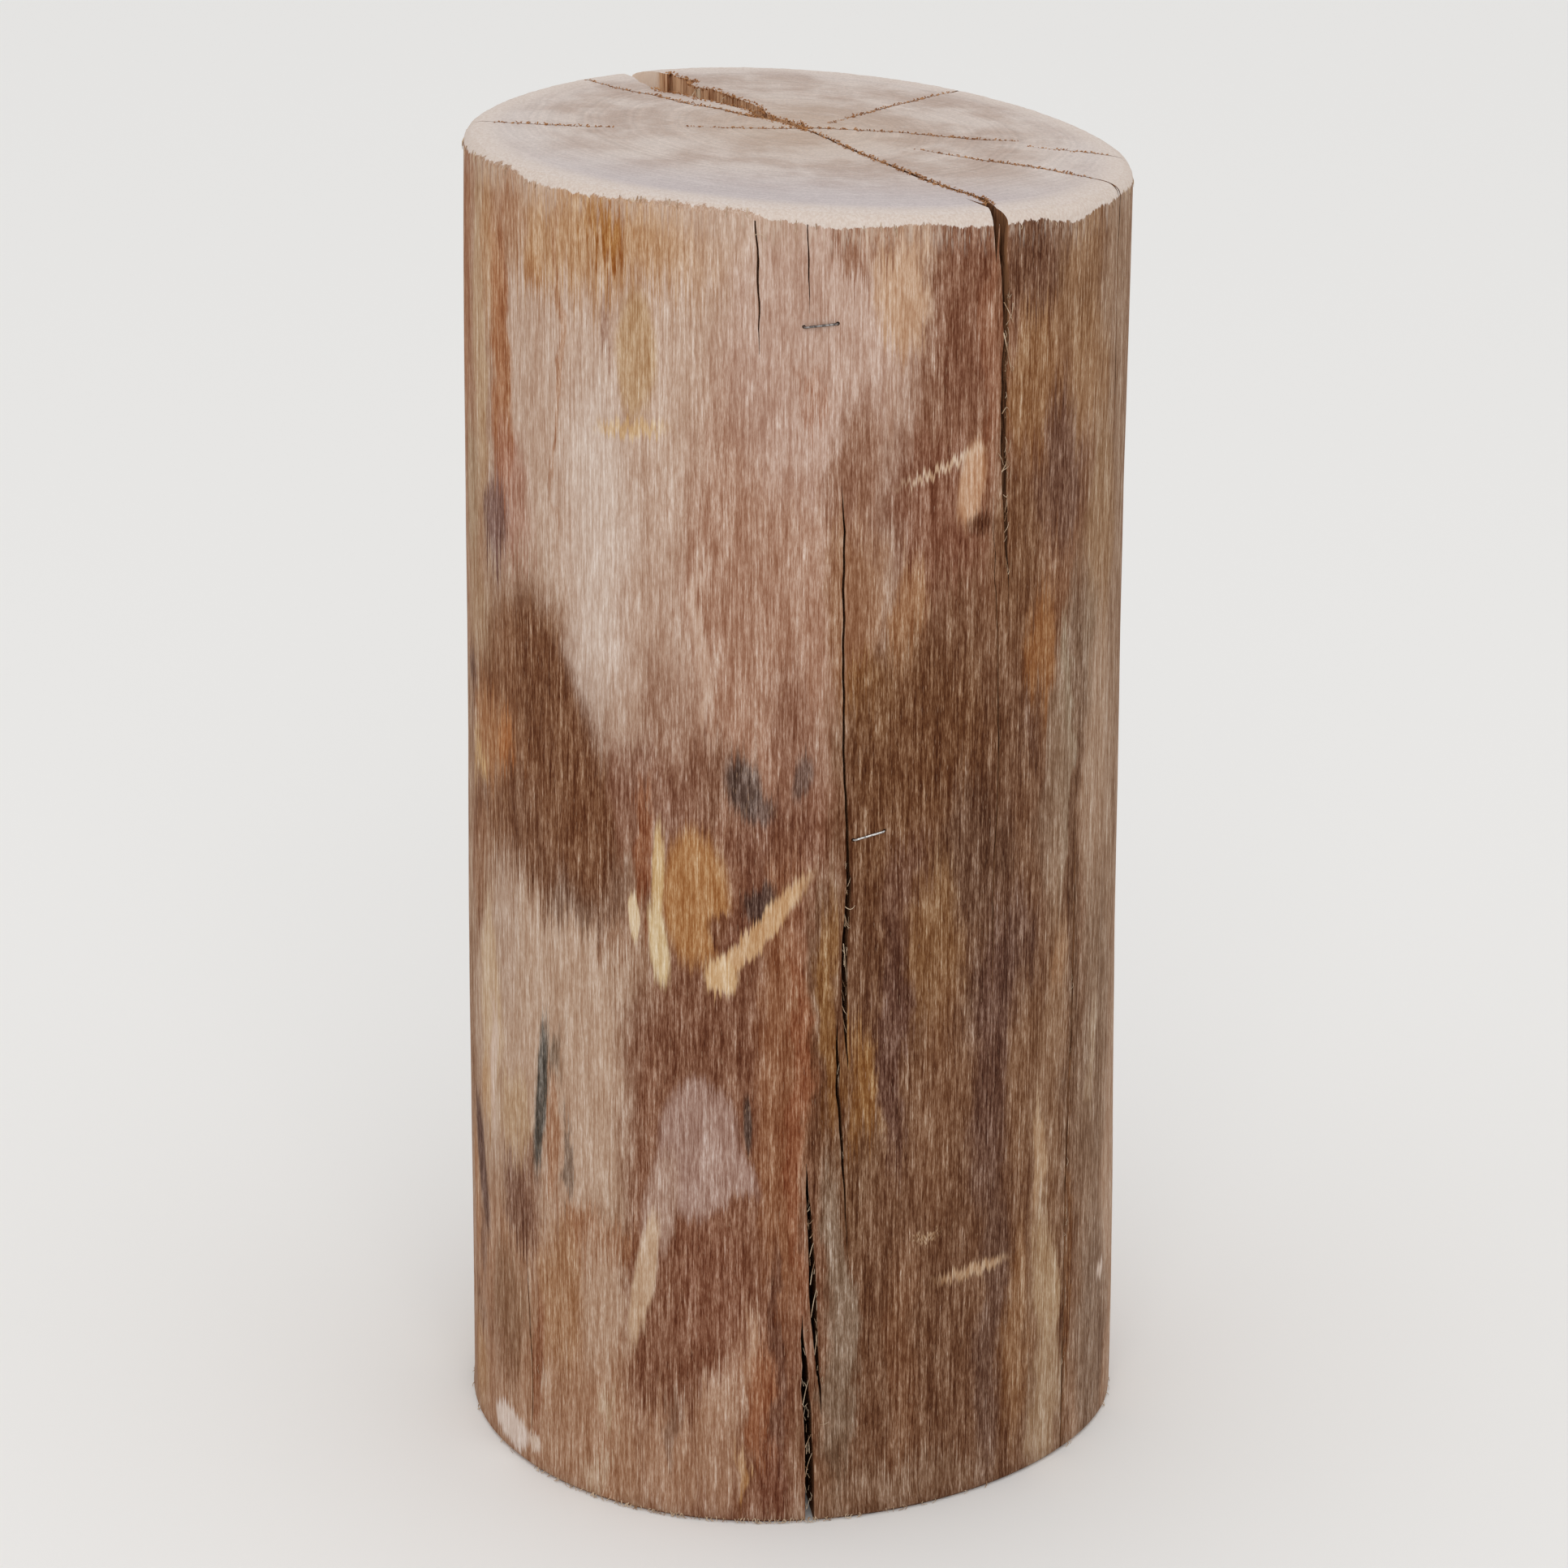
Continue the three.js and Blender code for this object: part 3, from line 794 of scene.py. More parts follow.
# The grain laid over the stains, after they are warmed a little. Where its gamma is above one the
# wood goes darker and redder, below one paler: islands, streaks, the fine comb of the fibres and
# their mottle, and short pale pores in the dark wood. It is a little stronger where wood is dark.
ground = add(tree, "Mix", {
    0: 1.0, 6: ground, 7: paint("#fff8f0")}, 2, data_type="RGBA", blend_type="MULTIPLY")
shade = add(tree, "RGBToBW", {0: ground})
grain_sum = add(tree, "MapRange", {
    0: island, 1: 0.42, 2: 0.60, 3: -0.10, 4: 0.18}, interpolation_type="SMOOTHSTEP")
for pattern, low, high, reach in (
    (streak, 0.38, 0.62, 0.20),
    (comb, 0.38, 0.62, 0.19),
    (feather, 0.38, 0.62, 0.08),
    (fibre, 0.36, 0.64, 0.25),
    (mottle, 0.34, 0.66, 0.10),
):
    part = add(tree, "MapRange", {
        0: pattern, 1: low, 2: high, 3: -reach, 4: reach}, interpolation_type="SMOOTHSTEP")
    grain_sum = add(tree, "Math", {0: grain_sum, 1: part}, operation="ADD")
strength = add(tree, "MapRange", {
    0: shade, 1: 0.06, 2: 0.40, 3: 0.76, 4: 0.64}, interpolation_type="SMOOTHSTEP")
gamma = add(tree, "Math", {0: grain_sum, 1: strength, 2: 0.985}, operation="MULTIPLY_ADD")
colour = add(tree, "Gamma", {"Color": ground, "Gamma": gamma})
pores = add(tree, "Math", {
    0: add(tree, "MapRange", {0: dash, 1: 0.66, 2: 0.72}, interpolation_type="SMOOTHSTEP"),
    1: add(tree, "MapRange", {
        0: shade, 1: 0.22, 2: 0.12, 3: 0.0, 4: 0.35}, interpolation_type="SMOOTHSTEP"),
}, operation="MULTIPLY")
colour = add(tree, "Mix", {0: pores, 6: colour, 7: paint("#b8967a")}, 2, data_type="RGBA")

# The ground rim: clean pale wood that ends in a ragged line of torn fibres. Just below it, down to
# about 11 mm from the line, the ridges are rubbed pale as well.
below = add(tree, "Attribute", {}, "Fac", attribute_name="below_rim", attribute_type="GEOMETRY")
fuzz = noise_at(tree, place, 0.8, 1.6, 3.0, 0.7)
rim = add(tree, "Mix", {
    0: add(tree, "MapRange", {0: fuzz, 1: 0.3, 2: 0.7}, interpolation_type="SMOOTHSTEP"),
    6: paint("#cdbcb0"), 7: paint("#dacec5")}, 2, data_type="RGBA")
teeth = add(tree, "Math", {0: feather, 1: 3.0, 2: below}, operation="MULTIPLY_ADD")
on_side = add(tree, "MapRange", {0: teeth, 1: 1.3, 2: 1.7}, interpolation_type="SMOOTHSTEP")
rubbed = add(tree, "Math", {
    0: add(tree, "MapRange", {0: below, 1: 11, 2: 2}, interpolation_type="SMOOTHSTEP"),
    1: add(tree, "MapRange", {
        0: streak, 1: 0.50, 2: 0.62, 3: 0.0, 4: 0.6}, interpolation_type="SMOOTHSTEP"),
}, operation="MULTIPLY")
colour = add(tree, "Mix", {0: rubbed, 6: colour, 7: paint("#cdb9a8")}, 2, data_type="RGBA")
colour = add(tree, "Mix", {0: on_side, 6: rim, 7: colour}, 2, data_type="RGBA")
ridges = add(tree, "Math", {0: streak, 1: 2.0, 2: comb}, operation="MULTIPLY_ADD")
bump = add(tree, "Bump", {"Height": ridges, "Strength": 0.5, "Distance": 0.25 * MM})
surface = add(tree, "BsdfPrincipled", {
    "Base Color": colour,
    "Roughness": add(tree, "MapRange", {
        0: streak, 1: 0.3, 2: 0.7, 3: 0.74, 4: 0.90}, interpolation_type="SMOOTHSTEP"),
    "Specular IOR Level": 0.1, "Normal": bump})
tree.links.new(surface, tree.nodes.new("ShaderNodeOutputMaterial").inputs["Surface"])

# The sawn and sanded ends: greyish cream end grain, warmer round the pith and greyer to the front,
# with faint rings. Sanding left it matt and clean, with pale scratches two ways across. Real
# scratches are under 0.1 mm wide and would not show, so these are drawn 0.5 mm wide.
pith_place = (3.6, 12.5, 0)
scratch_width = 0.5
tree = end_grain.node_tree
place = millimetres(tree)
from_pith = add(tree, "VectorMath", {0: place, 1: pith_place}, operation="SUBTRACT")
from_pith = add(tree, "VectorMath", {0: from_pith, 1: (1, 1, 0)}, operation="MULTIPLY")
radius = add(tree, "VectorMath", {0: from_pith}, "Value", operation="LENGTH")
warp = noise_at(tree, place, 45, 45, 2.0)
ring_radius = add(tree, "Math", {0: warp, 1: 9.0, 2: radius}, operation="MULTIPLY_ADD")
rings = noise_at(tree, add(tree, "CombineXYZ", {"X": ring_radius}), 2.6, 1, 3.0, 0.65)
patches = noise_at(tree, place, 26, 26, 4.0, 0.62)
grit = noise_at(tree, place, 0.9, 0.9, 3.0, 0.65)
colour = add(tree, "Mix", {
    0: add(tree, "MapRange", {0: patches, 1: 0.36, 2: 0.64}, interpolation_type="SMOOTHSTEP"),
    6: paint("#b8a498"), 7: paint("#cfc1b8")}, 2, data_type="RGBA")
frontward = add(tree, "SeparateXYZ", {0: from_pith}, "Y")
for measure, start, full, cover, code in (  # where each zone starts and is full, in mm from the pith
    (radius, 62, 6, 0.5, "#bca48f"),
    (radius, 70, 105, 0.6, "#d3c9c5"),
    (frontward, -45, -100, 0.6, "#bcb2b4"),
):
    colour = add(tree, "Mix", {
        0: add(tree, "MapRange", {
            0: measure, 1: start, 2: full, 3: 0.0, 4: cover}, interpolation_type="SMOOTHSTEP"),
        6: colour, 7: paint(code)}, 2, data_type="RGBA")
lighter = add(tree, "MapRange", {
    0: rings, 1: 0.3, 2: 0.7, 3: 0.92, 4: 1.06}, interpolation_type="SMOOTHSTEP")
colour = add(tree, "Mix", {
    0: 1.0, 6: colour, 7: lighter}, 2, data_type="RGBA", blend_type="MULTIPLY")
colour = add(tree, "Mix", {
    0: add(tree, "MapRange", {
        0: rings, 1: 0.60, 2: 0.72, 3: 0.0, 4: 0.4}, interpolation_type="SMOOTHSTEP"),
    6: colour, 7: paint("#ab8f79")}, 2, data_type="RGBA")
lighter = add(tree, "MapRange", {
    0: grit, 1: 0.3, 2: 0.7, 3: 0.90, 4: 1.08}, interpolation_type="SMOOTHSTEP")
colour = add(tree, "Mix", {
    0: 1.0, 6: colour, 7: lighter}, 2, data_type="RGBA", blend_type="MULTIPLY")
for heading, length, cover in ((28, 16, 0.5), (-35, 12, 0.45)):
    turned = add(tree, "Mapping", {"Vector": place, "Rotation": (0, 0, radians(heading))})
    scratches = add(tree, "VectorMath", {
        0: turned, 1: (1 / length, 1 / scratch_width, 0)}, operation="MULTIPLY")
    scratches = add(tree, "TexNoise", {"Vector": scratches, "Scale": 1.0, "Detail": 2.0})
    colour = add(tree, "Mix", {
        0: add(tree, "MapRange", {
            0: scratches, 1: 0.62, 2: 0.72, 3: 0.0, 4: cover}, interpolation_type="SMOOTHSTEP"),
        6: colour, 7: paint("#e2dad6")}, 2, data_type="RGBA")

# The outermost few mm were ground together with the rim and are nearly as pale
inward = add(tree, "Attribute", {}, "Fac", attribute_name="from_edge", attribute_type="GEOMETRY")
rim = add(tree, "Mix", {
    0: add(tree, "MapRange", {0: grit, 1: 0.3, 2: 0.7}, interpolation_type="SMOOTHSTEP"),
    6: paint("#cfbeb2"), 7: paint("#ddd2ca")}, 2, data_type="RGBA")
colour = add(tree, "Mix", {
    0: add(tree, "MapRange", {0: inward, 1: 15, 2: 5, 3: 0.0, 4: 0.85}, interpolation_type="SMOOTHSTEP"),
    6: colour, 7: rim}, 2, data_type="RGBA")
bump = add(tree, "Bump", {"Height": grit, "Strength": 0.35, "Distance": 0.2 * MM})
surface = add(tree, "BsdfPrincipled", {
    "Base Color": colour,
    "Roughness": add(tree, "MapRange", {
        0: grit, 1: 0.3, 2: 0.7, 3: 0.70, 4: 0.85}, interpolation_type="SMOOTHSTEP"),
    "Specular IOR Level": 0.15, "Normal": bump})
tree.links.new(surface, tree.nodes.new("ShaderNodeOutputMaterial").inputs["Surface"])

# Inside the cracks: wood torn along its fibres, rough and matt, ochre where it opened wide. The
# narrow ones are darker, partly from their own wood and partly from painted shade for their deep
# insides. Its fibres are drawn 0.7 mm wide, coarser than they are, to show. The outer end of the
# wide split was ground pale together with the rim.
# The second, darker pair is partly painted shade for the deep insides of the narrow cracks
for material, light, dark in ((split_wood, "#ddb48f", "#94623f"), (shaded_crack_wood, "#946848", "#4a2e1e")):
    tree = material.node_tree
    place = millimetres(tree)
    fibre = noise_at(tree, place, 0.7, 14, 3.0, 0.65)
    band = noise_at(tree, place, 2.6, 34, 3.0, 0.6, 3.0)
    streaks = add(tree, "Math", {0: fibre, 1: band}, operation="ADD")
    colour = add(tree, "Mix", {
        0: add(tree, "MapRange", {0: streaks, 1: 0.78, 2: 1.16}, interpolation_type="SMOOTHSTEP"),
        6: paint(dark), 7: paint(light)}, 2, data_type="RGBA")
    if material is split_wood:
        inward = add(tree, "Attribute", {}, "Fac", attribute_name="from_edge", attribute_type="GEOMETRY")
        below = add(tree, "Attribute", {}, "Fac", attribute_name="below_rim", attribute_type="GEOMETRY")
        worn = add(tree, "Math", {
            0: add(tree, "MapRange", {0: inward, 1: 9, 2: 7}, interpolation_type="SMOOTHSTEP"),
            1: add(tree, "MapRange", {0: below, 1: 13, 2: 7}, interpolation_type="SMOOTHSTEP"),
        }, operation="MULTIPLY")
        colour = add(tree, "Mix", {0: worn, 6: colour, 7: paint("#e3cfbd")}, 2, data_type="RGBA")
    bump = add(tree, "Bump", {"Height": streaks, "Strength": 0.7, "Distance": 0.5 * MM})
    surface = add(tree, "BsdfPrincipled", {
        "Base Color": colour,
        "Roughness": add(tree, "MapRange", {
            0: fibre, 1: 0.3, 2: 0.7, 3: 0.75, 4: 0.9}, interpolation_type="SMOOTHSTEP"),
        "Specular IOR Level": 0.1, "Normal": bump})
    tree.links.new(surface, tree.nodes.new("ShaderNodeOutputMaterial").inputs["Surface"])

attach(log, "root")
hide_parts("log")

# THE STAPLES
# Two staples of galvanised steel wire, left in the wood when a label was torn off. Each was driven
# in until its crown lay on the wood. The upper one has dulled, the lower one is still bright. Zinc
# on drawn wire gives a soft grey gleam with cloudy blotches.
bend = 0.9
bend_steps = 5
for name, place in staples.items():
    half = (crown - wire) / 2
    high = stand_off + wire / 2
    route = [(-half, -leg + stand_off), (-half, high - bend)]
    for i in range(1, bend_steps + 1):
        turn = pi / 2 * i / bend_steps
        route.append((-half + bend * (1 - cos(turn)), high - bend * (1 - sin(turn))))
    route += [(-across, up) for across, up in reversed(route)]
    bm = bmesh.new()
    ring = bmesh.ops.create_circle(bm, cap_ends=True, segments=12, radius=wire / 2 * MM)["verts"]
    face = ring[0].link_faces[0]
    stand = staple_place(*place)
    for i, (across, up) in enumerate(route):
        if i:
            face = drawn_out(bm, face, i == 1)
        behind, ahead = route[max(i - 1, 0)], route[min(i + 1, len(route) - 1)]
        heading = Vector((ahead[0] - behind[0], 0, ahead[1] - behind[1])).normalized()
        aside = Vector((0, 1, 0)).cross(heading)
        for k, vert in enumerate(face.verts):
            turn = 2 * pi * k / len(face.verts)
            point = Vector((across, 0, up)) + (aside * cos(turn) + Vector((0, 1, 0)) * sin(turn)) * wire / 2
            vert.co = stand @ (point * MM)
    bmesh.ops.recalc_face_normals(bm, faces=bm.faces)
    for part in bm.faces:
        part.smooth = True
    staple = new_piece(name + "_wire", bm)
    staple.data.set_sharp_from_angle(angle=radians(50))
    dulled = name == "staple_upper"
    steel = new_material("dulled_galvanised_steel" if dulled else "galvanised_steel")
    tree = steel.node_tree
    where = millimetres(tree)
    bloom = noise_at(tree, where, 1.1, 1.1, 3.0, 0.6, 1.0)
    scuff = noise_at(tree, where, 0.25, 0.25, 2.0, 0.6, 2.0)
    low, high = ("#4f4947", "#97918e") if dulled else ("#8f8c8a", "#d8d6d3")
    rough, smooth = (0.5, 0.32) if dulled else (0.38, 0.24)
    colour = add(tree, "Mix", {
        0: add(tree, "MapRange", {0: bloom, 1: 0.38, 2: 0.62}, interpolation_type="SMOOTHSTEP"),
        6: paint(low), 7: paint(high)}, 2, data_type="RGBA")
    bump = add(tree, "Bump", {"Height": scuff, "Strength": 0.3, "Distance": 0.05 * MM})
    surface = add(tree, "BsdfPrincipled", {
        "Base Color": colour, "Metallic": 1.0, "Normal": bump,
        "Roughness": add(tree, "MapRange", {
            0: bloom, 1: 0.3, 2: 0.7, 3: rough, 4: smooth}, interpolation_type="SMOOTHSTEP")})
    tree.links.new(surface, tree.nodes.new("ShaderNodeOutputMaterial").inputs["Surface"])
    staple.data.materials.append(steel)
    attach(staple, "root")
    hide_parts(name)

# THE TORN FIBRES
# Hairs and slivers of wood that tore loose where the trunk split. Some bridge the cracks, some
# curl out of them, and a fringe of them hangs on the sawn edge at the foot. Crumbs of the browner
# inner wood lie along the checks in the top.
strand_step = 0.7
fringe = bmesh.new()
crumbled = bmesh.new()
chance = Random(12)


def strand(loose, path, thickness):
    """Adds a hair along points in millimetres, thinning to a third at its far end."""
    points = along_path(path, strand_step)
    bm = bmesh.new()
    ring = bmesh.ops.create_circle(bm, cap_ends=True, segments=4, radius=MM)["verts"]
    face = ring[0].link_faces[0]
    for i, point in enumerate(points):
        if i:
            face = drawn_out(bm, face, i == 1)
        heading = (points[min(i + 1, len(points) - 1)] - points[max(i - 1, 0)]).normalized()
        aside = heading.cross(Vector((0.3, 1, 0.1))).normalized()
        beside = heading.cross(aside)
        radius = thickness / 2 * (1 - 0.67 * i / len(points))
        for k, vert in enumerate(face.verts):
            turn = 2 * pi * k / 4
            vert.co = (point + (aside * cos(turn) + beside * sin(turn)) * radius) * MM
    bmesh.ops.recalc_face_normals(bm, faces=bm.faces)
    mesh = bpy.data.meshes.new("strand")
    bm.to_mesh(mesh)
    bm.free()
    loose.from_mesh(mesh)
    bpy.data.meshes.remove(mesh)


# A single fibre is finer than a hair and would not show, so each of these is a bundle of them
curled = [  # hairs that stand out: thickness, and points of (around, level, how far out)
    (0.34, [(35.5, 421, 0.0), (36.3, 417.5, 0.9), (37.3, 414.0, 0.5)]),
    (0.30, [(37.2, 420.5, 0.2), (36.7, 417, 1.0), (35.9, 413.5, 0.3)]),
    (0.42, [
        (35.6, 411, 0.0), (36.1, 405.5, 0.9), (36.7, 400, 1.2), (37.2, 398.4, 1.0), (37.5, 399.6, 0.8),
        (37.0, 400.2, 0.7)]),
    (0.32, [(35.7, 384.5, 0.0), (36.2, 386.8, 0.9), (36.7, 385.8, 0.9), (37.2, 383.2, 0.5)]),
    (0.26, [(35.1, 371.8, 0.1), (35.7, 369.6, 0.7), (36.1, 367.6, 0.4)]),
    (0.36, [(36.0, 365.2, 0.0), (36.4, 368.2, 1.0), (36.7, 370.2, 0.8)]),
    (0.30, [(36.1, 365.6, 0.0), (36.8, 366.9, 1.0), (37.4, 368.2, 0.7)]),
    (0.26, [(36.4, 357.6, 0.0), (36.8, 356.8, 0.7), (37.2, 357.4, 0.4)]),
    (0.30, [(36.8, 344.8, 0.0), (37.2, 346.6, 0.7), (37.5, 348.4, 0.5)]),
    (0.28, [(37.9, 330.5, 0.0), (38.2, 333.2, 0.6), (38.4, 336.4, 0.5)]),
    (0.36, [(8.9, 222.2, 0.1), (9.6, 221.5, 1.1), (10.2, 221.6, 1.1), (10.7, 222.6, 0.8)]),
    (0.24, [(9.0, 218.6, 0.0), (9.4, 216.4, 0.7), (9.9, 215.2, 0.3)]),
    (0.24, [(9.1, 216.6, 0.0), (9.6, 215.0, 0.8), (10.2, 214.8, 0.3)]),
    (0.36, [(8.9, 209, -0.4), (9.3, 202, -0.2), (9.7, 194, -0.5)]),
    (0.30, [(8.8, 187.4, 0.1), (9.2, 185.6, 0.8), (9.7, 184.4, 0.4)]),
    (0.34, [(8.8, 184.2, 0.0), (9.2, 180.6, 0.5), (9.7, 177.8, 0.2)]),
    (0.40, [(8.3, 162, -0.3), (8.8, 154, -0.1), (9.3, 147, -0.4)]),
    (0.24, [(3.7, 110.2, 0.0), (4.1, 111.2, 0.4), (4.5, 112.4, 0.1)]),
    (0.28, [(3.8, 105.0, 0.0), (4.2, 106.4, 0.5), (4.7, 108.2, 0.1)]),
    (0.30, [(3.8, 98.0, -0.2), (4.2, 102.0, 0.3), (4.9, 105.5, 0.0)]),
    (0.32, [(4.0, 88.0, -0.2), (4.3, 93.0, 0.3), (4.8, 97.5, 0.0)]),
    (0.34, [(4.2, 76, -0.3), (4.6, 82, 0.2), (5.2, 88.0, 0.0)]),
    (0.30, [(4.9, 62, -0.2), (5.2, 68, 0.2), (5.6, 73, 0.0)]),
    (0.30, [(3.0, 44, -0.3), (3.5, 50, 0.2), (4.0, 54, 0.0)]),
    (0.28, [(3.5, 28, -0.2), (4.0, 31, 0.3), (4.5, 33, 0.0)]),
    (0.32, [(3.6, 17, -0.3), (4.0, 22, 0.3), (4.7, 26, 0.0)]),
    (0.24, [(-30.2, 447.2, 0.0), (-29.4, 448.4, 1.0), (-28.6, 447.6, 1.4), (-28.2, 448.6, 1.0)]),
    (0.22, [(-7.9, 441.5, 0.1), (-7.0, 442.2, 0.9), (-6.2, 441.4, 0.8), (-5.8, 439.8, 0.3)]),
    (0.22, [(6.0, 36.4, 0.0), (6.8, 36.8, 0.8), (7.6, 37.4, 0.3)]),
    (0.24, [(-48.0, 36, 0.0), (-48.4, 39, 0.6), (-48.2, 41, 0.2)]),
]
for thickness, path in curled:
    strand(fringe, [trunk_point(around, level, out=out) for around, level, out in path], thickness)

crack_edges = [  # where short fuzz grows: angles and levels a crack runs between, and how many hairs
    (36.0, 440, 37.4, 330, 34), (9.2, 235, 9.5, 180, 22), (8.2, 178, 9.6, 130, 14),
    (3.4, 120, 6.0, 50, 26), (2.8, 72, 4.4, 4, 26), (57.3, 200, 58, 20, 12), (-117, 340, -117.5, 130, 16),
    (148.4, 440, 147.8, 290, 16), (171, 130, 171, 6, 18),
]
for from_around, from_level, to_around, to_level, count in crack_edges:
    for _ in range(count):
        t = chance.random()
        around = from_around + (to_around - from_around) * t + chance.uniform(-0.5, 0.5)
        level = from_level + (to_level - from_level) * t
        reach = chance.uniform(1.2, 4.5)
        turn = chance.uniform(-0.9, 0.9)
        path = [
            (around, level, -0.2),
            (around + turn * 0.25, level + reach * 0.5, chance.uniform(0.1, 0.6)),
            (around + turn * 0.6, level + reach, chance.uniform(-0.1, 0.4)),
        ]
        points = [trunk_point(around, level, out=out) for around, level, out in path]
        strand(fringe, points, chance.uniform(0.12, 0.24))

for _ in range(150):  # the fringe at the foot, thickest at the front left
    around = chance.triangular(-60, 30, -16) if chance.random() < 0.7 else chance.uniform(-180, 180)
    reach = chance.uniform(0.8, 2.6)
    path = [
        (around, chance.uniform(1.2, 2.2), -0.2),
        (around + chance.uniform(-0.5, 0.5), 0.9, chance.uniform(0.2, 0.5)),
        (around + chance.uniform(-0.9, 0.9), 0.3, reach * 0.35),
    ]
    points = [trunk_point(around, level, out=out) for around, level, out in path]
    strand(fringe, points, chance.uniform(0.2, 0.5))

for _ in range(110):  # torn teeth under the ground rim
    around = chance.uniform(-180, 180)
    start = height - ragged_line(around)
    reach = chance.uniform(0.8, 3.0)
    path = [
        (around, start + 0.8, -0.5),
        (around + chance.uniform(-0.1, 0.1), start - reach * 0.4, 0.15),
        (around + chance.uniform(-0.2, 0.2), start - reach, chance.uniform(0.05, 0.3)),
    ]
    points = [trunk_point(around, level, out=out) for around, level, out in path]
    strand(fringe, points, chance.uniform(0.2, 0.45))

# Crumbs along the checks, more of them where a check is wide, and along the inner part of the wide
# split. None lie further out than the flat of the top.
flat_reach = 100
crumb_lines = check_lines + [
    along_path([(x, y, 1.0) for x, y in side], top_step) for side in (split_edge[:9], split_edge[16:])]
for line in crumb_lines:
    for start, end in zip(line, line[1:]):
        heading = (end - start).normalized()
        for _ in range(2 + round(2.2 * start.z)):
            x, y, width = start.lerp(end, chance.random())
            if hypot(x - base_middle[0] - top_lean, y - base_middle[1]) > flat_reach:
                continue
            beside = chance.choice((-1, 1)) * (width / 2 + chance.uniform(-0.2, 0.7))
            x += heading.y * beside
            y -= heading.x * beside
            foot = Vector((x, y, height + top_slope * (x - base_middle[0]) - 0.3))
            lean = (chance.uniform(-1.1, 1.1), chance.uniform(-1.1, 1.1), chance.uniform(0.3, 0.9))
            tip = foot + Vector(lean)
            knee = (foot + tip) / 2 + Vector((0, 0, 0.2))
            strand(crumbled, [foot, knee, tip], chance.uniform(0.3, 0.65))

slivers = [  # inside the wide split, as (x, y, level) near the top
    (1.6, [(-31.5, 62.5, 452), (-31, 62, 438), (-30, 61, 420)]),
    (2.2, [(-27, 54, 449), (-26.5, 53.5, 430), (-26, 53, 400)]),
    (1.2, [(-16, 39.5, 450), (-16, 40, 436), (-15.6, 40.4, 415)]),
    (0.8, [(-12.6, 33.5, 451), (-12.2, 33, 440), (-12, 32.6, 428)]),
    (0.5, [(-38, 66, 446), (-40, 64, 449), (-42, 61, 450)]),
    (0.45, [(-24, 50, 449), (-23, 53, 451), (-21.6, 55, 450)]),
    (0.4, [(-33.6, 60, 450), (-32, 63, 452), (-30.5, 65, 450)]),
]
for thickness, path in slivers:
    strand(fringe, [Vector(point) for point in path], thickness)

fibres = new_piece("torn_fibres", fringe)
crumbs = new_piece("check_crumbs", crumbled)

# Torn fibre is dry and matt, from straw to pale brown, with a faint grain along it
fibre_wood = new_material("pale_torn_fibre")
tree = fibre_wood.node_tree
where = millimetres(tree)
bleach = noise_at(tree, where, 3, 6, 2.0)
colour = add(tree, "Mix", {
    0: add(tree, "MapRange", {0: bleach, 1: 0.35, 2: 0.65}, interpolation_type="SMOOTHSTEP"),
    6: paint("#8f6d50"), 7: paint("#cdb79c")}, 2, data_type="RGBA")
bump = add(tree, "Bump", {
    "Height": noise_at(tree, where, 0.2, 1.5, 2.0), "Strength": 0.3, "Distance": 0.1 * MM})
surface = add(tree, "BsdfPrincipled", {
    "Base Color": colour,
    "Roughness": add(tree, "MapRange", {
        0: bleach, 1: 0.3, 2: 0.7, 3: 0.7, 4: 0.88}, interpolation_type="SMOOTHSTEP"),
    "Specular IOR Level": 0.15, "Normal": bump})
tree.links.new(surface, tree.nodes.new("ShaderNodeOutputMaterial").inputs["Surface"])
fibres.data.materials.append(fibre_wood)

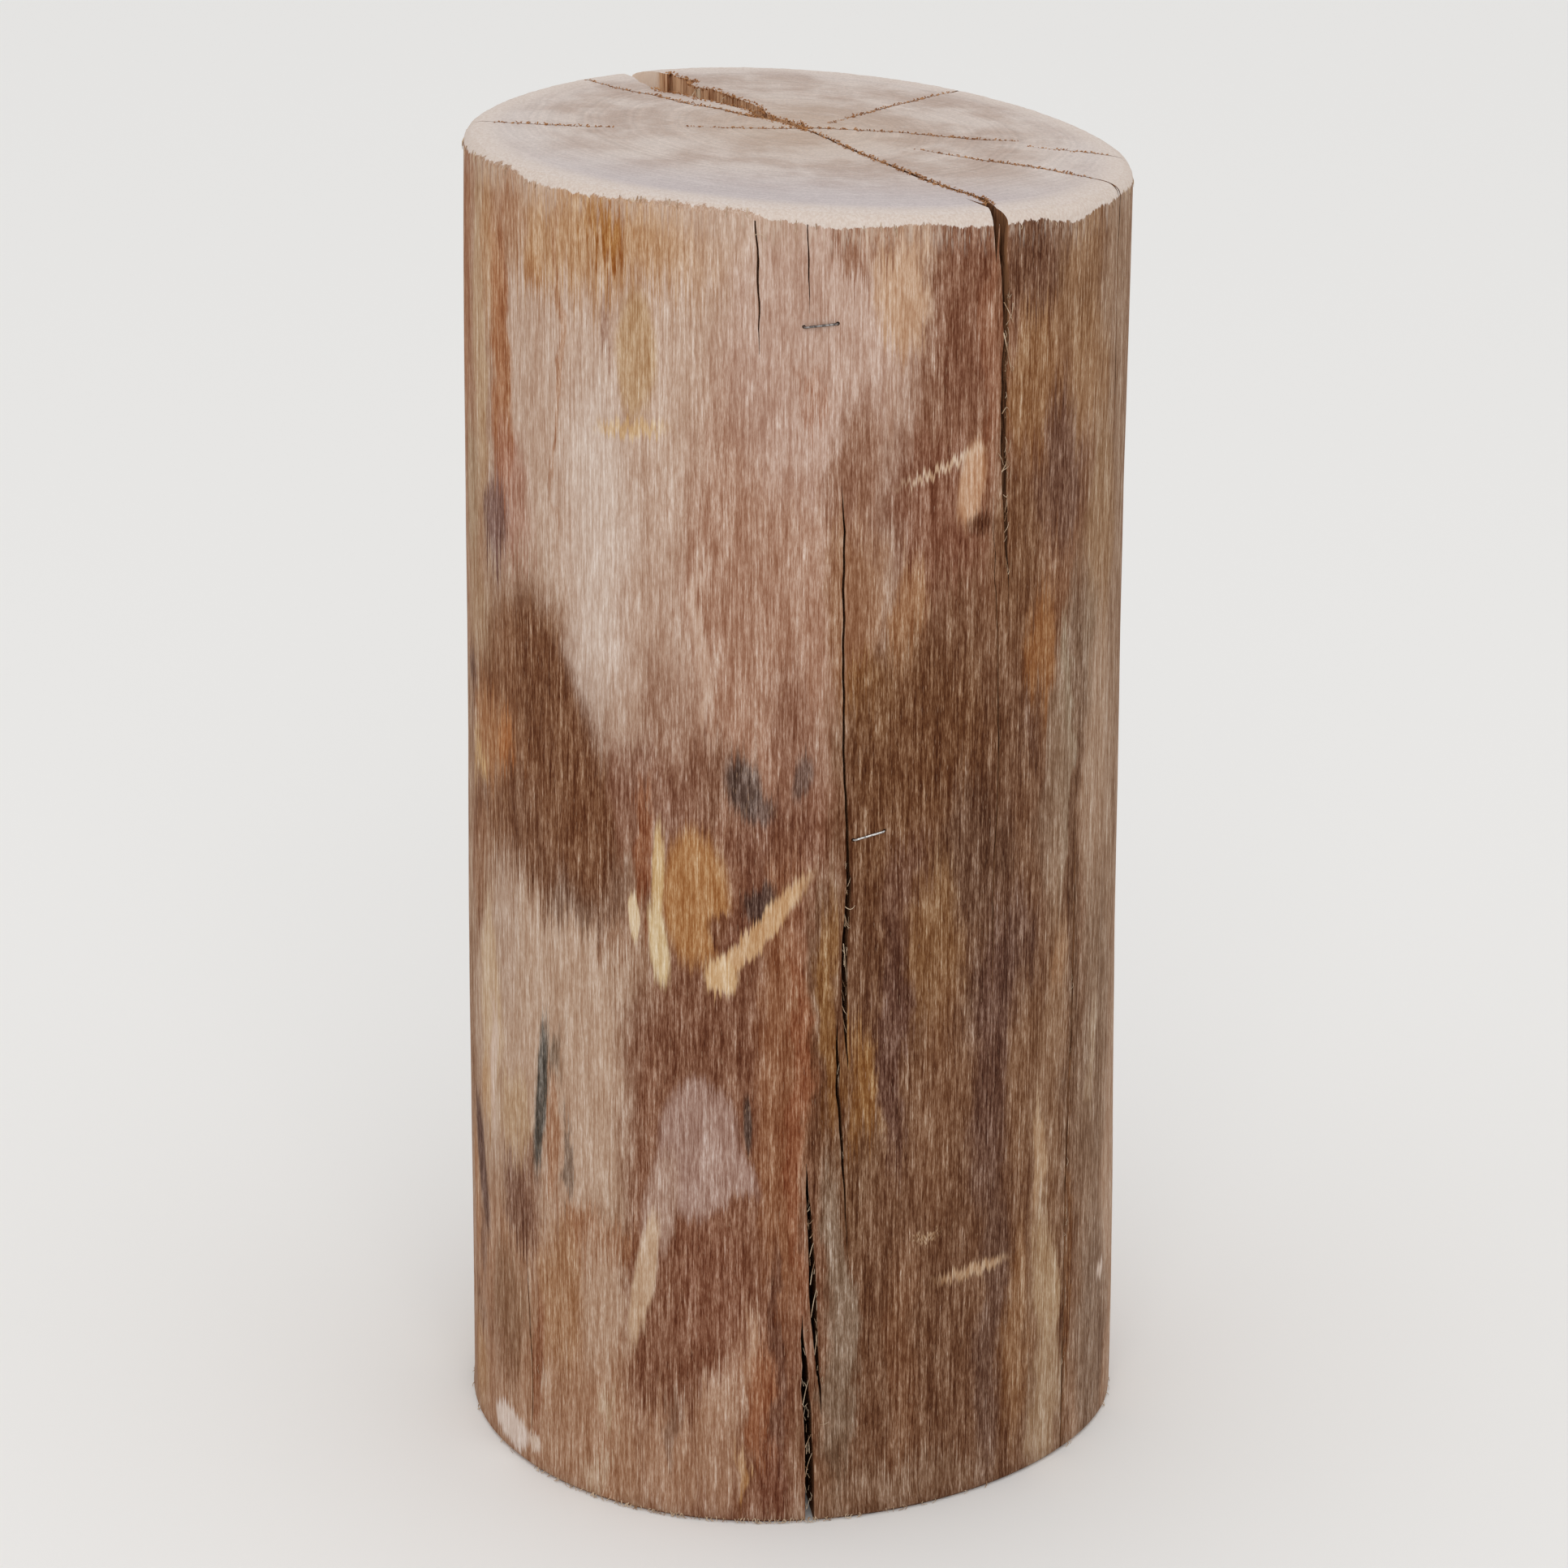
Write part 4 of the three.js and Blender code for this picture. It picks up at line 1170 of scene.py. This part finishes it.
# Crumbled wood is as matt, and orange-brown against the grey top
crumb_wood = new_material("brown_crumbled_wood")
tree = crumb_wood.node_tree
where = millimetres(tree)
tone = noise_at(tree, where, 2, 2, 2.0)
colour = add(tree, "Mix", {
    0: add(tree, "MapRange", {0: tone, 1: 0.35, 2: 0.65}, interpolation_type="SMOOTHSTEP"),
    6: paint("#8a5a38"), 7: paint("#b98a60")}, 2, data_type="RGBA")
bump = add(tree, "Bump", {
    "Height": noise_at(tree, where, 0.2, 0.2, 2.0), "Strength": 0.3, "Distance": 0.1 * MM})
surface = add(tree, "BsdfPrincipled", {
    "Base Color": colour,
    "Roughness": add(tree, "MapRange", {
        0: tone, 1: 0.3, 2: 0.7, 3: 0.75, 4: 0.9}, interpolation_type="SMOOTHSTEP"),
    "Specular IOR Level": 0.1, "Normal": bump})
tree.links.new(surface, tree.nodes.new("ShaderNodeOutputMaterial").inputs["Surface"])
crumbs.data.materials.append(crumb_wood)
for loose in (fibres, crumbs):
    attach(loose, "root")

# THE STAGE
# A plain matt floor, near white, under an even sky with one broad lamp in front.
floor_bm = bmesh.new()
bmesh.ops.create_grid(floor_bm, x_segments=1, y_segments=1, size=6)
floor = new_piece("floor", floor_bm)
floor_paint = new_material("matt_white_paint")
tree = floor_paint.node_tree
surface = add(tree, "BsdfPrincipled", {
    "Base Color": paint("#f2f1ef"), "Roughness": 0.9, "Specular IOR Level": 0.1})
tree.links.new(surface, tree.nodes.new("ShaderNodeOutputMaterial").inputs["Surface"])
floor.data.materials.append(floor_paint)
look_down = 20.07
camera = bpy.data.objects.new("camera", bpy.data.cameras.new("camera"))
camera.data.sensor_width = 36
camera.data.lens = 112.6
camera.location = Vector((-2.4, -1578.5, 801)) * MM
camera.rotation_euler = (radians(90 - look_down), 0, 0)
bpy.context.scene.collection.objects.link(camera)
bpy.context.scene.camera = camera
sky = bpy.data.worlds.new("sky")
bpy.context.scene.world = sky
sky.use_nodes = True
sky.node_tree.nodes["Background"].inputs["Color"].default_value = (1, 1, 1, 1)
sky.node_tree.nodes["Background"].inputs["Strength"].default_value = 0.86
light = bpy.data.objects.new("key", bpy.data.lights.new("key", "AREA"))
light.data.energy = 16
light.data.size = 1.6
light.location = (0.1, -2.4, 1.9)
light.rotation_euler = (Vector((0, 0, 0.25)) - light.location).to_track_quat("-Z", "Y").to_euler()
bpy.context.scene.collection.objects.link(light)
bpy.context.scene.view_settings.view_transform = "Standard"
